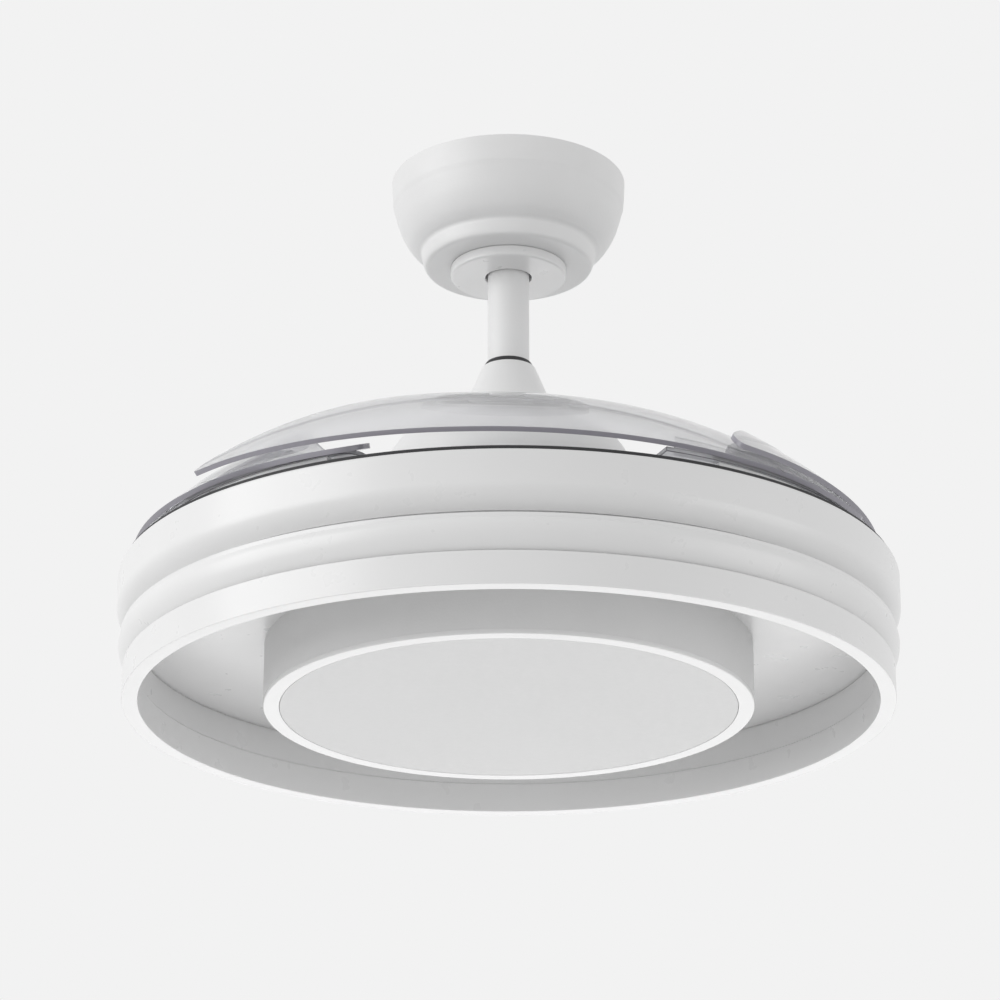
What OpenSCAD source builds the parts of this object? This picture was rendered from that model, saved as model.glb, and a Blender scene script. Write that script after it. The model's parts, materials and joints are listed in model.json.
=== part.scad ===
// Retractable blade ceiling fan with a ring-shaped lamp.
// The origin is the middle of the bracket's top face, which lies on the ceiling.
// +Z is up, the fan hangs below, and -Y is the side that faces the viewer.
// Heights named *_b are measured up from the plane of the drum's bottom rim.

/* [Drum] */
// Outer diameter of the drum's upper band
drum_d = 510; // [500:1:530]
// Height of the drum from its bottom rim to the top edge of the upper band
drum_h = 83; // [80:1:95]
// Distance that the upper band stands out past the bottom rim, on each side
band_overhang = 5; // [3:0.5:8]
// Width of the flat face of the bottom rim
rim_w = 10.5; // [8:0.5:13]
// Depth of the ring-shaped recess between the rim and the lamp
recess_depth = 42; // [38:1:46]
// Height of the lower band's outer wall
lower_band_h = 21; // [16:1:24]
// Wall thickness of the drum's moulded bands
band_wall = 2.5; // [2:0.1:3]
// Depth of the top tray below the top edge of the upper band
tray_depth = 17; // [16.5:0.5:19]

/* [Lamp] */
// Outer diameter of the lamp housing
lamp_d = 318; // [290:1:340]
// Width of the white bezel round the diffuser
bezel_w = 10.4; // [8:0.2:14]
// Thickness of the diffuser
diffuser_t = 2.6; // [2:0.1:3]
// Number of light-emitting chips in the outer of the two rings
led_count = 32; // [24:1:40]

/* [Canopy and rod] */
// Diameter of the canopy where it meets the ceiling
canopy_d = 159; // [155:1:170]
// Height of the canopy from the ceiling to its bottom face
canopy_h = 62; // [60:1:68]
// Wall thickness of the canopy
canopy_wall = 1.5; // [1:0.1:2]
// Diameter of the cover disc under the canopy
disc_d = 78.4; // [74:0.2:84]
// Thickness of the cover disc's visible edge
disc_t = 7; // [5:0.5:9]
// Outer diameter of the down rod
rod_d = 28; // [26:0.5:30]
// Wall thickness of the down rod
rod_wall = 2; // [1.5:0.1:2.5]
// Length of the down rod
rod_len = 143; // [140:1:300]
// Diameter of the two pins that hold the down rod
link_pin_d = 5; // [4:0.5:5.5]
// Diameter of the hanger ball
ball_d = 52; // [50:0.5:54]

/* [Ceiling bracket] */
// Distance between the two ceiling screw holes
hole_spacing = 92; // [86:1:98]
// Diameter of the ceiling screw holes
hole_d = 6; // [5:0.1:7]
// Thickness of the bracket's steel
bracket_t = 2; // [1.5:0.1:2.5]

/* [Motor] */
// Diameter of the motor's rotor shell
rotor_d = 144; // [140:1:150]
// Height of the rotor shell
rotor_h = 84; // [80:1:90]
// Diameter of the fixed motor shaft
shaft_d = 17; // [16:0.5:18]
// Diameter of the wire way through the shaft
shaft_bore = 12; // [11.5:0.5:13]
// Air gap between the stator and the magnets
air_gap = 1; // [0.8:0.1:1.4]
// Number of stator poles
pole_count = 12; // [9:3:18]
// Outer diameter of the motor cover dome
dome_d = 170; // [168:1:178]
// Height of the domed part of the motor cover
dome_h = 57; // [55:1:60]

/* [Blades] */
// Angle that each blade swings out from its folded place
blade_swing = 130; // [120:1:135]
// Position of blade 1's pivot, degrees round from the front
pivot_az = 57; // [54:1:60]
// Distance from the drum's outer edge in to the folded blades' outer edge
blade_inset = 9; // [7:0.5:14]
// Distance from the blades' outer edge in to their pivots, before it is taken to whole gear teeth
pivot_inset = 61; // [59:1:65]
// Angle that one folded blade spans
blade_span = 121; // [112:1:124]
// Angle from the pivot back to the blade's root end
root_back = 11; // [9:1:13]
// Width of the blade at its middle
blade_w = 93; // [86:1:96]
// Width of the blade at its root end
blade_root_w = 34; // [33:1:40]
// Rise of the blade's surface from its outer edge to its inner edge
blade_rise = 58; // [52:0.5:60]
// Thickness of the clear blade
blade_t = 3.2; // [2.8:0.1:3.4]
// Height of the blade's outer edge above the drum's top edge, at the root
blade_lift = 12; // [10:0.5:15]
// Climb of the outer edge from the root to the tip, per degree
blade_climb = 0.075; // [0.07:0.005:0.1]
// Extra climb of the tip above the neighbouring root
tip_climb = 4.5; // [2:0.5:8]
// Angle that the second blade sits further in on its arm than the others do
blade_tuck = 1; // [0:0.1:1]
// Diameter of the blade pivot pins
pin_d = 8; // [7:0.5:9]

/* [Blade gearing] */
// Module of the gear teeth
gear_module = 2; // [1.95:0.05:2.05]
// Teeth on each blade hub
hub_teeth = 21; // [20:1:22]
// Width of the gears
gear_t = 3; // [2.5:0.1:3.4]

/* [Hidden] */
$fn = 96;

// General clearances
fit = 0.05;            // radial clearance of a running or sliding fit
seat = 0.3;            // gap between a loose cover and what it rests on
eps = 0.01;

// Radii and heights of the drum, measured from the rim plane
band_r = drum_d / 2;
rim_r = band_r - band_overhang;
recess_r = rim_r - rim_w;
plate_b = recess_depth;
plate_t = 3;
plate_top_b = plate_b + plate_t;
plate_r = rim_r - 1;
tray_b = drum_h - tray_depth;
tray_t = 2;
tray_r = band_r - band_wall - 0.5;
seal_t = 2.6;
lamp_r = lamp_d / 2;
lens_r = lamp_r - bezel_w;
post_r = 6;
post_ring_r = band_r - 50;
lamp_stud_r = lamp_r - 39;

// Gears of the blade mechanism, whose pitch circles meet between each pivot and the axis.
// The synchronising ring's full circle has a multiple of four teeth, one quarter for each blade.
blade_r = band_r - blade_inset;
hub_pitch_r = gear_module * hub_teeth / 2;
ring_teeth = 4 * round((blade_r - pivot_inset - hub_pitch_r) / gear_module / 2);
ring_pitch_r = gear_module * ring_teeth / 2;
pivot_r = ring_pitch_r + hub_pitch_r;

// Motor and blade carrier, stacked on the tray
carrier_b = tray_b + 4;
carrier_t = 3;
carrier_r = pivot_r + 20;
carrier_screw_r = 45;
motor_b = carrier_b + carrier_t;
motor_top_b = motor_b + rotor_h;
rotor_r = rotor_d / 2;
rotor_wall = 5;
flange_r = rotor_r + 6;
rotor_screw_r = rotor_r + 3.1;
split_b = motor_b + 39;
bell_t = 4;
bearing_w = 12;
bearing_r = 20;
bearing_pocket = 25;
lower_bearing_b = motor_b + bell_t;
upper_bearing_b = motor_top_b - bell_t - bearing_w;
stator_b = lower_bearing_b + bearing_w + 6;
stator_h = upper_bearing_b - 6 - stator_b;
stator_r = rotor_r - rotor_wall - 4.5 - air_gap;

// Coupling, rod and hanger above the motor
coupling_b = motor_top_b + 34;
coupling_r = rod_d / 2 + 3;
coupling_grip = 16;
rod_b = coupling_b + coupling_grip;
socket_depth = 26;
coupling_top_b = rod_b + socket_depth;
cone_top_b = coupling_top_b + 7;
cone_top_r = coupling_r + 1;
cone_slope = 0.4;
cone_wall = 2;
seal_h = 3.8;
dome_r = dome_d / 2;
dome_wall = 2;
dome_b = motor_top_b - 3;
skirt_b = motor_b + 21;
ball_r = ball_d / 2;
ball_drop = 38;
ball_cap = 12;
ball_foot = 17;
ball_pin_rise = 5;     // height of the ball's pin above the ball's centre
rod_pin_rise = 10;     // height of the coupling's pin above the rod's lower end
set_screw_rise = 5;    // height of the coupling's set screws above its lower end
rod_top_z = -ball_drop + ball_cap;
rod_r = rod_d / 2;
rim_z = rod_top_z - rod_len - rod_b;

// Canopy outline
canopy_r = canopy_d / 2;
collar_h = 18;
collar_taper = 1.5;
neck_r = canopy_r - 21.5;
neck_drop = canopy_h - 10;
foot_round = 3;
foot_r = neck_r - foot_round;
canopy_hole_r = 22;
canopy_screw_x = 31;
disc_r = disc_d / 2;
disc_gap = 1.6;

// Ceiling bracket
leg_x = canopy_r - 43.5;
leg_w = 26;
saddle_r = leg_x + bracket_t;
saddle_top = ball_drop + 6;
saddle_h = 10;
bracket_l = hole_spacing + 24;
bracket_w = 44;
box_gap = 4;

// Blade gearing
gear_b = motor_b + 1;
ring_bore_r = ring_pitch_r - 24;
tooth_slack = 0.12;
sector_teeth = ceil(blade_swing * hub_teeth / 360) + 5;
hub_r = 12;
arm_b = drum_h + blade_lift - 4.5;
arm_t = 3;
blade_b = drum_h + blade_lift;
pad_b = arm_b + arm_t;
pad_t = 3;
pad_inner_r = blade_r - 34;
pad_outer_r = blade_r - 4;
pad_from = root_back - 7;
pad_to = root_back + 34;
arm_from = root_back - 6;
arm_to = root_back + 25;
screw_steps = [10, 20, 30];
rib_steps = [15, 19.5, 24, 28.5];
root_az = pivot_az + root_back;
spring_wire = 1.4;
spring_turns = 4;
spring_pitch = 2;
spring_b = gear_b + gear_t + 2.5;
spring_r = hub_r + 1.5 + spring_wire / 2;
spring_leg = 22;

// Lamp
lens_b = 0.2;
board_t = 1.6;
housing_t = 2.5;

// ---- helpers ----

// Places its children in the drum's frame, whose origin is the rim plane
module in_drum() translate([0, 0, rim_z]) children();

// Turns its children round the fan's axis, in degrees from the front
module at_az(az) rotate(az - 90) children();

// A flat ring from height b, h thick
module band(r_out, r_in, b, h)
  translate([0, 0, b]) difference() {
    cylinder(r = r_out, h = h);
    translate([0, 0, -eps]) cylinder(r = r_in, h = h + 2 * eps);
  }

module disc(r, b, h) translate([0, 0, b]) cylinder(r = r, h = h);

// A screw whose shank runs up from height b to b + l, head below
module screw_up(d, b, l, head_d, head_h) {
  disc(d / 2, b - eps, l + eps);
  difference() {
    disc(head_d / 2, b - head_h, head_h);
    translate([0, 0, b - head_h - eps]) cylinder(r = head_d / 5, h = head_h / 2, $fn = 6);
  }
}

// A screw whose shank runs down from height b to b - l, head above
module screw_down(d, b, l, head_d, head_h) mirror([0, 0, 1]) screw_up(d, -b, l, head_d, head_h);

// Involute of a circle, in degrees, at radius r
function involute(r, base_r) =
  let (a = acos(min(1, base_r / r))) tan(a) * 180 / PI - a;

// Half of a tooth's angle at radius r
function tooth_half(r, pitch_r, base_r) =
  (gear_module * PI / 4 - tooth_slack / 2) / pitch_r * 180 / PI
  + involute(pitch_r, base_r) - involute(max(r, base_r), base_r);

// Outline of one gear tooth that points along +X
module tooth(pitch_r) {
  base_r = pitch_r * cos(20);
  root_r = pitch_r - 1.25 * gear_module;
  radii = concat([root_r - 0.4], [for (i = [0:5]) max(root_r, base_r)
    + (pitch_r + gear_module - max(root_r, base_r)) * i / 5]);
  flank = [for (r = radii) let (a = tooth_half(r, pitch_r, base_r)) [r * cos(a), r * sin(a)]];
  polygon(concat(flank, [for (i = [len(flank) - 1:-1:0]) [flank[i][0], -flank[i][1]]]));
}

// ---- hanger ----

module ceiling_bracket() color("silver") difference() {
  union() {
    translate([-bracket_l / 2, -bracket_w / 2, -bracket_t]) cube([bracket_l, bracket_w, bracket_t]);
    for (s = [-1, 1])
      translate([s > 0 ? leg_x : -leg_x - bracket_t, -leg_w / 2, -saddle_top - saddle_h])
        cube([bracket_t, leg_w, saddle_top + saddle_h - eps]);
    disc(saddle_r, -saddle_top - saddle_h, saddle_h);
  }
  for (s = [-1, 1]) {
    translate([s * hole_spacing / 2, 0, -bracket_t - eps]) cylinder(d = hole_d, h = bracket_t + 2 * eps);
    translate([s * canopy_screw_x, 0, -saddle_top - saddle_h - eps]) cylinder(r = 2, h = saddle_h + 2 * eps);
  }
  translate([0, 0, -ball_drop]) sphere(r = ball_r + fit);
  disc(rod_r + 3, -saddle_top - saddle_h - eps, saddle_h + 2 * eps);
  translate([-rod_r - 1, 0, -saddle_top - saddle_h - eps])
    cube([2 * rod_r + 2, saddle_r + 1, saddle_h + 2 * eps]);
}

module receiver() color("white")
  translate([-leg_x + seat, -17, rod_top_z + box_gap])
    cube([2 * leg_x - 2 * seat, 34, -bracket_t - rod_top_z - 2 * box_gap]);

module terminal_block() color("ivory") difference() {
  translate([-20, -28, rod_top_z + box_gap + 2]) cube([40, 11, 12]);
  for (x = [-15:6:15])
    translate([x, -28 - eps, rod_top_z + box_gap + 8]) rotate([-90, 0, 0]) cylinder(r = 1.8, h = 7);
}

module hanger_ball() color("dimgray") difference() {
  intersection() {
    translate([0, 0, -ball_drop]) sphere(r = ball_r);
    disc(ball_r + 1, -ball_drop - ball_foot, ball_foot + ball_cap);
  }
  disc(rod_r + fit, -ball_drop - ball_foot - eps, ball_foot + ball_cap + 2 * eps);
  cross_hole(-ball_drop + ball_pin_rise, 2 * ball_r);
}

// A hole square to the rod, at height z, for one of the two pins that hold it
module cross_hole(z, l) translate([0, 0, z]) rotate([90, 0, 0])
  cylinder(r = link_pin_d / 2 + fit, h = l, center = true);

// One of the two pins that hold the down rod, at height z
module cross_pin(z, l) translate([0, 0, z]) rotate([90, 0, 0])
  cylinder(r = link_pin_d / 2, h = l, center = true);

module ball_pin() color("silver") cross_pin(-ball_drop + ball_pin_rise, 2 * ball_r - 5);

// Outer outline of the canopy: collar, bulge, cove and foot
function canopy_outer(w) = concat(
  [[canopy_r - w, 0], [canopy_r - collar_taper - w, -collar_h]],
  [for (a = [9:9:81])
    [neck_r + 3.5 + (canopy_r - collar_taper - neck_r - 3.5) * pow(cos(a), 1.48) - w,
     -collar_h - (neck_drop - 3 - collar_h) * pow(sin(a), 1.48)]],
  [[neck_r + 3.2 - w, -neck_drop + 2.4], [neck_r + 1 - w, -neck_drop + 0.8],
   [neck_r - w, -neck_drop - 0.8]],
  [for (a = [15:15:75])
    [foot_r + foot_round * cos(a) - w, -neck_drop - 1 - (canopy_h - neck_drop - 1.5 - w) * sin(a)]],
  [[foot_r - w, -canopy_h + w]]);

module canopy() color("white") difference() {
  rotate_extrude($fn = 128) polygon(concat(
    canopy_outer(0), [[canopy_hole_r, -canopy_h], [canopy_hole_r, -canopy_h + canopy_wall]],
    [for (i = [len(canopy_outer(0)) - 1:-1:0]) canopy_outer(canopy_wall)[i]]));
  for (s = [-1, 1])
    translate([s * canopy_screw_x, 0, -canopy_h - 1]) cylinder(r = 2.2, h = canopy_wall + 2);
}

module canopy_screws() color("silver")
  for (s = [-1, 1])
    translate([s * canopy_screw_x, 0, 0]) screw_up(3.9, -canopy_h, canopy_h - saddle_top - 1, 7, 2.4);

module canopy_disc() color("white") {
  rim_in = disc_r - 2;
  translate([0, 0, -canopy_h - seat]) rotate_extrude($fn = 128) polygon([
    [rod_r + disc_gap, 4], [rod_r + disc_gap, -disc_t], [disc_r - 0.8, -disc_t],
    [disc_r, -disc_t + 0.8], [disc_r, 0], [rim_in, 0], [rim_in, -disc_t + 2],
    [canopy_hole_r - fit, -disc_t + 2], [canopy_hole_r - fit, 4]]);
}

module down_rod() color("white") difference() {
  disc(rod_r, rod_top_z - rod_len, rod_len);
  disc(rod_r - rod_wall, rod_top_z - rod_len - eps, rod_len + 2 * eps);
  for (z = [-ball_drop + ball_pin_rise, rod_top_z - rod_len + rod_pin_rise])
    cross_hole(z, 2 * rod_r + 2);
}

// Three insulated leads from the receiver down the rod and shaft to the lamp driver
wire_r = 0.9;
wire_bend_r = 3.7;
wires = [["black", -4, 0, 3.5], ["white", 4, -1.6, 3.5], ["firebrick", 4, 1.6, 5.9]];

module lead_wires() {
  for (w = wires) color(w[0]) {
    foot_z = rim_z + plate_top_b + w[3];
    translate([w[1], w[2], 0]) {
      disc(wire_r, foot_z + wire_bend_r, rod_top_z + box_gap - foot_z - wire_bend_r);
      translate([0, wire_bend_r, foot_z + wire_bend_r]) rotate([90, 0, -90]) rotate([0, 0, -90])
        rotate_extrude(angle = 90) translate([wire_bend_r, 0]) circle(r = wire_r, $fn = 24);
      translate([0, wire_bend_r, foot_z]) rotate([-90, 0, 0])
        cylinder(r = wire_r, h = driver_y - driver_w / 2 - wire_bend_r - w[2]);
    }
  }
}

module coupling() color("gray") in_drum() difference() {
  union() {
    disc(coupling_r, coupling_b, coupling_top_b - coupling_b);
    disc(cover_seat_r, cover_seat_b - 3, 3);
  }
  disc(rod_r + fit, rod_b, socket_depth + eps);
  disc(shaft_d / 2, coupling_b - eps, coupling_grip - 1);
  disc(shaft_bore / 2, coupling_b, coupling_grip + 1);
  cross_hole(rod_b + rod_pin_rise, 3 * coupling_r);
  for (s = [0, 180]) rotate(s) translate([0, 0, coupling_b + set_screw_rise]) rotate([0, 90, 0])
    cylinder(r = 2.5, h = 40);
  for (a = [30, 150, 270]) rotate(a)
    translate([cover_screw_r, 0, cover_seat_b - 4]) cylinder(r = 1.5, h = 5);
}

module coupling_pin() color("silver") in_drum() cross_pin(rod_b + rod_pin_rise, 2 * coupling_r);

module coupling_set_screws() color("dimgray") in_drum()
  for (s = [0, 180]) rotate(s) translate([shaft_d / 2, 0, coupling_b + set_screw_rise]) rotate([0, 90, 0])
    cylinder(r = 2.5, h = coupling_r - shaft_d / 2 - 0.5);

// ---- motor cover ----

cover_seat_r = coupling_r + 7;
cover_seat_b = dome_b + dome_arc(cover_seat_r, dome_wall) - seat;
cover_screw_r = coupling_r + 3.8;
// Height of the dome at radius r, on the surface that lies w inside the outer one
function dome_arc(r, w) = (dome_h - w) * sqrt(1 - pow(r / (dome_r - w), 2));
// Radius where the cone's outer face would meet the dome
cone_foot_r = cone_top_r + cone_slope * (cone_top_b - dome_b - dome_arc(cone_top_r + 11, 0));
cone_foot_b = dome_b + dome_arc(cone_foot_r - cone_wall, 0) + seat;

module motor_cover() color("white") in_drum() difference() {
  rotate_extrude($fn = 128) polygon(concat(
    [[dome_r, skirt_b]],
    [for (a = [0:6:72]) [dome_r * cos(a), dome_b + dome_h * sin(a)]],
    [[coupling_r + 1, dome_b + dome_arc(coupling_r + 1, 0)],
     [coupling_r + 1, dome_b + dome_arc(coupling_r + 1, dome_wall)]],
    [for (a = [72:-6:0]) [(dome_r - dome_wall) * cos(a), dome_b + (dome_h - dome_wall) * sin(a)]],
    [[dome_r - dome_wall, skirt_b]]));
  for (a = [30, 150, 270]) rotate(a) translate([cover_screw_r, 0, cover_seat_b]) cylinder(r = 1.7, h = 9);
}

module cover_screws() color("silver") in_drum()
  for (a = [30, 150, 270]) rotate(a) translate([cover_screw_r, 0, 0])
    screw_down(2.9, dome_b + dome_arc(cover_screw_r - 3, 0) + 0.1, 6.5, 5, 1.8);

module cone_cover() color("white") in_drum()
  rotate_extrude($fn = 128) polygon([
    [cone_top_r, cone_top_b], [cone_foot_r, cone_foot_b], [cone_foot_r - cone_wall, cone_foot_b],
    [cone_top_r - cone_wall, cone_top_b - cone_wall], [rod_r + seat, cone_top_b - cone_wall],
    [rod_r + seat, cone_top_b]]);

module cone_seal() color("black") in_drum()
  translate([0, 0, cone_top_b]) rotate_extrude($fn = 128) polygon([
    [rod_r + fit, 0], [cone_top_r - 0.5, 0], [rod_r + 1, seal_h], [rod_r + fit, seal_h]]);

// ---- motor ----

module motor_shaft() color("silver") in_drum() difference() {
  union() {
    disc(shaft_d / 2, plate_top_b + 7, coupling_b + coupling_grip - 1 - plate_top_b - 7);
    disc(shaft_d / 2 + 3.5, tray_b, 3.6);
  }
  disc(shaft_bore / 2, plate_top_b, coupling_top_b - plate_top_b);
}

module shaft_nut() color("silver") in_drum() difference() {
  union() {
    translate([0, 0, tray_b - tray_t - 7.5]) cylinder(r = shaft_d / 2 + 6, h = 5.5, $fn = 6);
    disc(shaft_d / 2 + 9, tray_b - tray_t - 2, 2);
  }
  disc(shaft_d / 2, 0, drum_h);
}

module stator_core() color("slategray") in_drum() difference() {
  union() {
    disc(22, stator_b, stator_h);
    for (i = [0:pole_count - 1]) rotate(i * 360 / pole_count) {
      translate([20, -3, stator_b]) cube([stator_r - 23, 6, stator_h]);
      intersection() {
        band(stator_r, stator_r - 5, stator_b, stator_h);
        rotate(-120 / pole_count) translate([0, 0, stator_b])
          rotate_extrude(angle = 240 / pole_count) square([stator_r + 1, stator_h]);
      }
    }
  }
  disc(shaft_d / 2, stator_b - eps, stator_h + 2 * eps);
}

module stator_windings() color("chocolate") in_drum()
  for (i = [0:pole_count - 1]) rotate(i * 360 / pole_count) difference() {
    translate([34, -5.4, stator_b - 3]) cube([stator_r - 41, 10.8, stator_h + 6]);
    translate([33, -3, stator_b]) cube([stator_r - 39, 6, stator_h]);
  }

// One race: w from the outer or inner wall to the ball track
module race(r_out, r_in, b) difference() {
  band(r_out, r_in, b, bearing_w);
  translate([0, 0, b + bearing_w / 2]) rotate_extrude()
    translate([ball_track_r, 0]) circle(r = bearing_ball_r + fit, $fn = 48);
}

bearing_ball_r = 3.5;
ball_track_r = (bearing_r + shaft_d / 2) / 2;
bearing_heights = [lower_bearing_b, upper_bearing_b];

module bearing_inner_races() color("silver") in_drum()
  for (b = bearing_heights) race(ball_track_r - 2, shaft_d / 2, b);

module bearing_outer_races() color("lightgray") in_drum()
  for (b = bearing_heights) race(bearing_r, ball_track_r + 2, b);

module bearing_balls() color("gainsboro") in_drum()
  for (b = bearing_heights, i = [0:7]) rotate(i * 45)
    translate([ball_track_r, 0, b + bearing_w / 2]) sphere(r = bearing_ball_r, $fn = 32);

module rotor_lower_shell() color("darkgray") in_drum() difference() {
  union() {
    disc(rotor_r, motor_b, bell_t);
    band(rotor_r, rotor_r - rotor_wall, motor_b, split_b - motor_b);
    band(flange_r, rotor_r - rotor_wall, split_b - 3, 3);
    disc(bearing_pocket, motor_b, bell_t + bearing_w);
  }
  disc(bearing_r, lower_bearing_b, bearing_w + 1);
  disc(ball_track_r, motor_b - 1, bell_t + 2);
  for (i = [0:5]) rotate(i * 60 + 15) translate([rotor_screw_r, 0, split_b - 4]) cylinder(r = 1.7, h = 5);
  for (i = [0:3]) rotate(i * 90 + 45) translate([carrier_screw_r, 0, motor_b - 1])
    cylinder(r = 2.5, h = 4);
}

module rotor_upper_shell() color("darkgray") in_drum() difference() {
  union() {
    disc(rotor_r, motor_top_b - bell_t, bell_t);
    band(rotor_r, rotor_r - rotor_wall, split_b, motor_top_b - split_b);
    band(flange_r, rotor_r - rotor_wall, split_b, 3);
    disc(bearing_pocket, upper_bearing_b, bearing_w + 1);
  }
  disc(bearing_r, upper_bearing_b - 1, bearing_w + 1);
  disc(ball_track_r, upper_bearing_b, bearing_w + bell_t + 1);
  for (i = [0:5]) rotate(i * 60 + 15) translate([rotor_screw_r, 0, split_b - 1]) cylinder(r = 1.7, h = 5);
}

module rotor_screws() color("silver") in_drum()
  for (i = [0:5]) rotate(i * 60 + 15) translate([rotor_screw_r, 0, 0])
    screw_up(3.3, split_b - 3, 6, 5.6, 2.2);

module rotor_magnets() color("dimgray") in_drum()
  for (i = [0:pole_count - 1]) rotate(i * 360 / pole_count) translate([0, 0, stator_b])
    rotate_extrude(angle = 330 / pole_count) translate([stator_r + air_gap, 0]) square([4.5, stator_h]);

// ---- blade carrier and gearing ----

// The four stations of the blade mechanism, one for each blade
module stations() for (i = [0:3]) at_az(pivot_az + 90 * i) translate([pivot_r, 0, 0]) children();

module blade_carrier() color("gainsboro") in_drum() difference() {
  union() {
    disc(carrier_r, carrier_b, carrier_t);
    band(ring_bore_r - fit, ring_bore_r - 12, motor_b - eps, gear_t + 1.15);
  }
  disc(shaft_d / 2 + 5.5, carrier_b - 1, carrier_t + 2);
  for (i = [0:7]) rotate(i * 45) translate([(rotor_r + ring_bore_r - 12) / 2, 0, carrier_b - 1])
    cylinder(r = (ring_bore_r - 12 - rotor_r) / 2 - 6, h = carrier_t + 2);
  for (i = [0:3]) rotate(i * 90 + 45) translate([carrier_screw_r, 0, carrier_b - 1])
    cylinder(r = 2.6, h = carrier_t + 2);
  for (i = [0:3]) at_az(retainer_az + 90 * i) translate([retainer_r, 0, carrier_b - 1])
    cylinder(r = 2, h = carrier_t + gear_t + 4);
  stations() {
    disc(pin_d / 2, carrier_b - 1, carrier_t + 2);
    translate(post_place) disc(2, carrier_b - 1, carrier_t + 2);
  }
}

module carrier_screws() color("silver") in_drum()
  for (i = [0:3]) rotate(i * 90 + 45) translate([carrier_screw_r, 0, 0])
    screw_up(4.9, carrier_b, carrier_t + 2.8, 8.5, 2.4);

retainer_az = pivot_az + 45;
retainer_r = ring_bore_r - 6;
module ring_retainers() color("silver") in_drum()
  for (i = [0:3]) at_az(retainer_az + 90 * i) translate([retainer_r, 0, 0]) {
    disc(2, carrier_b + 0.5, carrier_t + gear_t + 1);
    disc(9, gear_b + gear_t + 0.15, 1.6);
    translate([0, 0, gear_b + gear_t + 1.7]) cylinder(r = 4.4, h = 2.2, $fn = 6);
  }

module pivot_pins() color("silver") in_drum() stations() {
  disc(pin_d / 2, carrier_b, pad_b + 2.4 - carrier_b);
  disc(pin_d / 2 + 4, motor_b, 0.7);
  translate(post_place) disc(2, carrier_b, spring_b + 2 - carrier_b);
}

module pivot_clips() color("silver") in_drum() stations() band(pin_d / 2 + 3.5, pin_d / 2, pad_b + seat, 1.2);

// The post beside the lower spring leg, in a station's own frame
post_place = [spring_r + spring_wire / 2 + 2 + seat, spring_leg - 3, 0];

// Centre line of a torsion spring: lower leg, coil and upper leg
function spring_path() = concat(
  [for (s = [spring_leg:-4:2]) [spring_r, s, 0]],
  [for (i = [0:8 * spring_turns]) [spring_r * cos(-45 * i), spring_r * sin(-45 * i), spring_pitch * i / 8]],
  [for (s = [3:4:15]) [spring_r, -s, spring_pitch * spring_turns]]);

// A tube of n sides swept along the points of path
module tube(path, r, n) {
  last = len(path) - 1;
  rings = [for (i = [0:last])
    let (t = path[min(i + 1, last)] - path[max(i - 1, 0)], d = t / norm(t),
      side = cross(d, [0, 0, 1]) / norm(cross(d, [0, 0, 1])), up = cross(side, d))
    [for (k = [0:n - 1]) path[i] + r * (cos(k * 360 / n) * side + sin(k * 360 / n) * up)]];
  points = [for (ring = rings, p = ring) p];
  walls = [for (i = [0:last - 1], k = [0:n - 1])
    let (a = i * n + k, b = i * n + (k + 1) % n) each [[a, b, b + n], [a, b + n, a + n]]];
  caps = [[for (k = [n - 1:-1:0]) k], [for (k = [0:n - 1]) last * n + k]];
  polyhedron(points, concat(walls, caps));
}

module blade_springs() color("silver") in_drum() stations()
  translate([0, 0, spring_b]) tube(spring_path(), spring_wire / 2, 6);

module sync_ring() color("steelblue") in_drum() difference() {
  translate([0, 0, gear_b]) union() {
    cylinder(r = ring_pitch_r - 1.25 * gear_module, h = gear_t);
    for (k = [0:3], i = [-3:sector_teeth - 4])
      at_az(pivot_az + 90 * k + (i + 0.5) * 360 / ring_teeth)
        linear_extrude(gear_t) tooth(ring_pitch_r);
  }
  disc(ring_bore_r, gear_b - eps, gear_t + 2 * eps);
}

// Places its children at blade i's pivot, with the root's straight line to the axis along -X
module at_pivot(i) at_az(pivot_az + 90 * (i - 1)) translate([pivot_r, 0, 0]) children();

// Angle round the fan, in blade i's own frame, of the line that lies step degrees from the root end
function step_angle(i, step) = root_az + 90 * (i - 1) - step - 90;

// A sector between two radii and two steps from the root end, as an outline
module root_sector(r_in, r_out, from, to) polygon(concat(
  [for (s = [from:(to - from) / 8:to + eps]) r_in * [cos(step_angle(1, s)), sin(step_angle(1, s))]],
  [for (s = [to:-(to - from) / 8:from - eps]) r_out * [cos(step_angle(1, s)), sin(step_angle(1, s))]]));

module turn_to(i) rotate(90 * (i - 1)) children();

module blade_arm(i) color("white") in_drum() difference() {
  union() {
    at_pivot(i) {
      disc(hub_r, gear_b, pad_b - gear_b);
      translate([0, 0, gear_b]) {
        cylinder(r = hub_pitch_r - 1.25 * gear_module, h = gear_t);
        for (k = [0:hub_teeth - 1]) rotate(180 + k * 360 / hub_teeth)
          linear_extrude(gear_t) tooth(hub_pitch_r);
      }
    }
    turn_to(i) translate([0, 0, arm_b]) linear_extrude(arm_t) {
      root_sector(pad_inner_r, pad_outer_r - 2, arm_from, arm_to);
      root_sector(pivot_r - 4, pad_inner_r + 2, root_back - 5, root_back + 5);
    }
  }
  at_pivot(i) disc(pin_d / 2 + fit, gear_b - eps, pad_b - gear_b + 2 * eps);
  blade_screw_places(i) disc(1.9, arm_b - eps, arm_t + 2 * eps);
}

// The three screws that hold blade i on its arm
module blade_screw_places(i) for (s = screw_steps) rotate(step_angle(i, s))
  translate([(pad_inner_r + pad_outer_r) / 2 - 1, 0, 0]) children();

module blade_screws(i) color("silver") in_drum() blade_screw_places(i)
  screw_up(3.2, arm_b, arm_t + pad_t - 0.3, 6.6, 2.2);

// ---- blades ----

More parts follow.
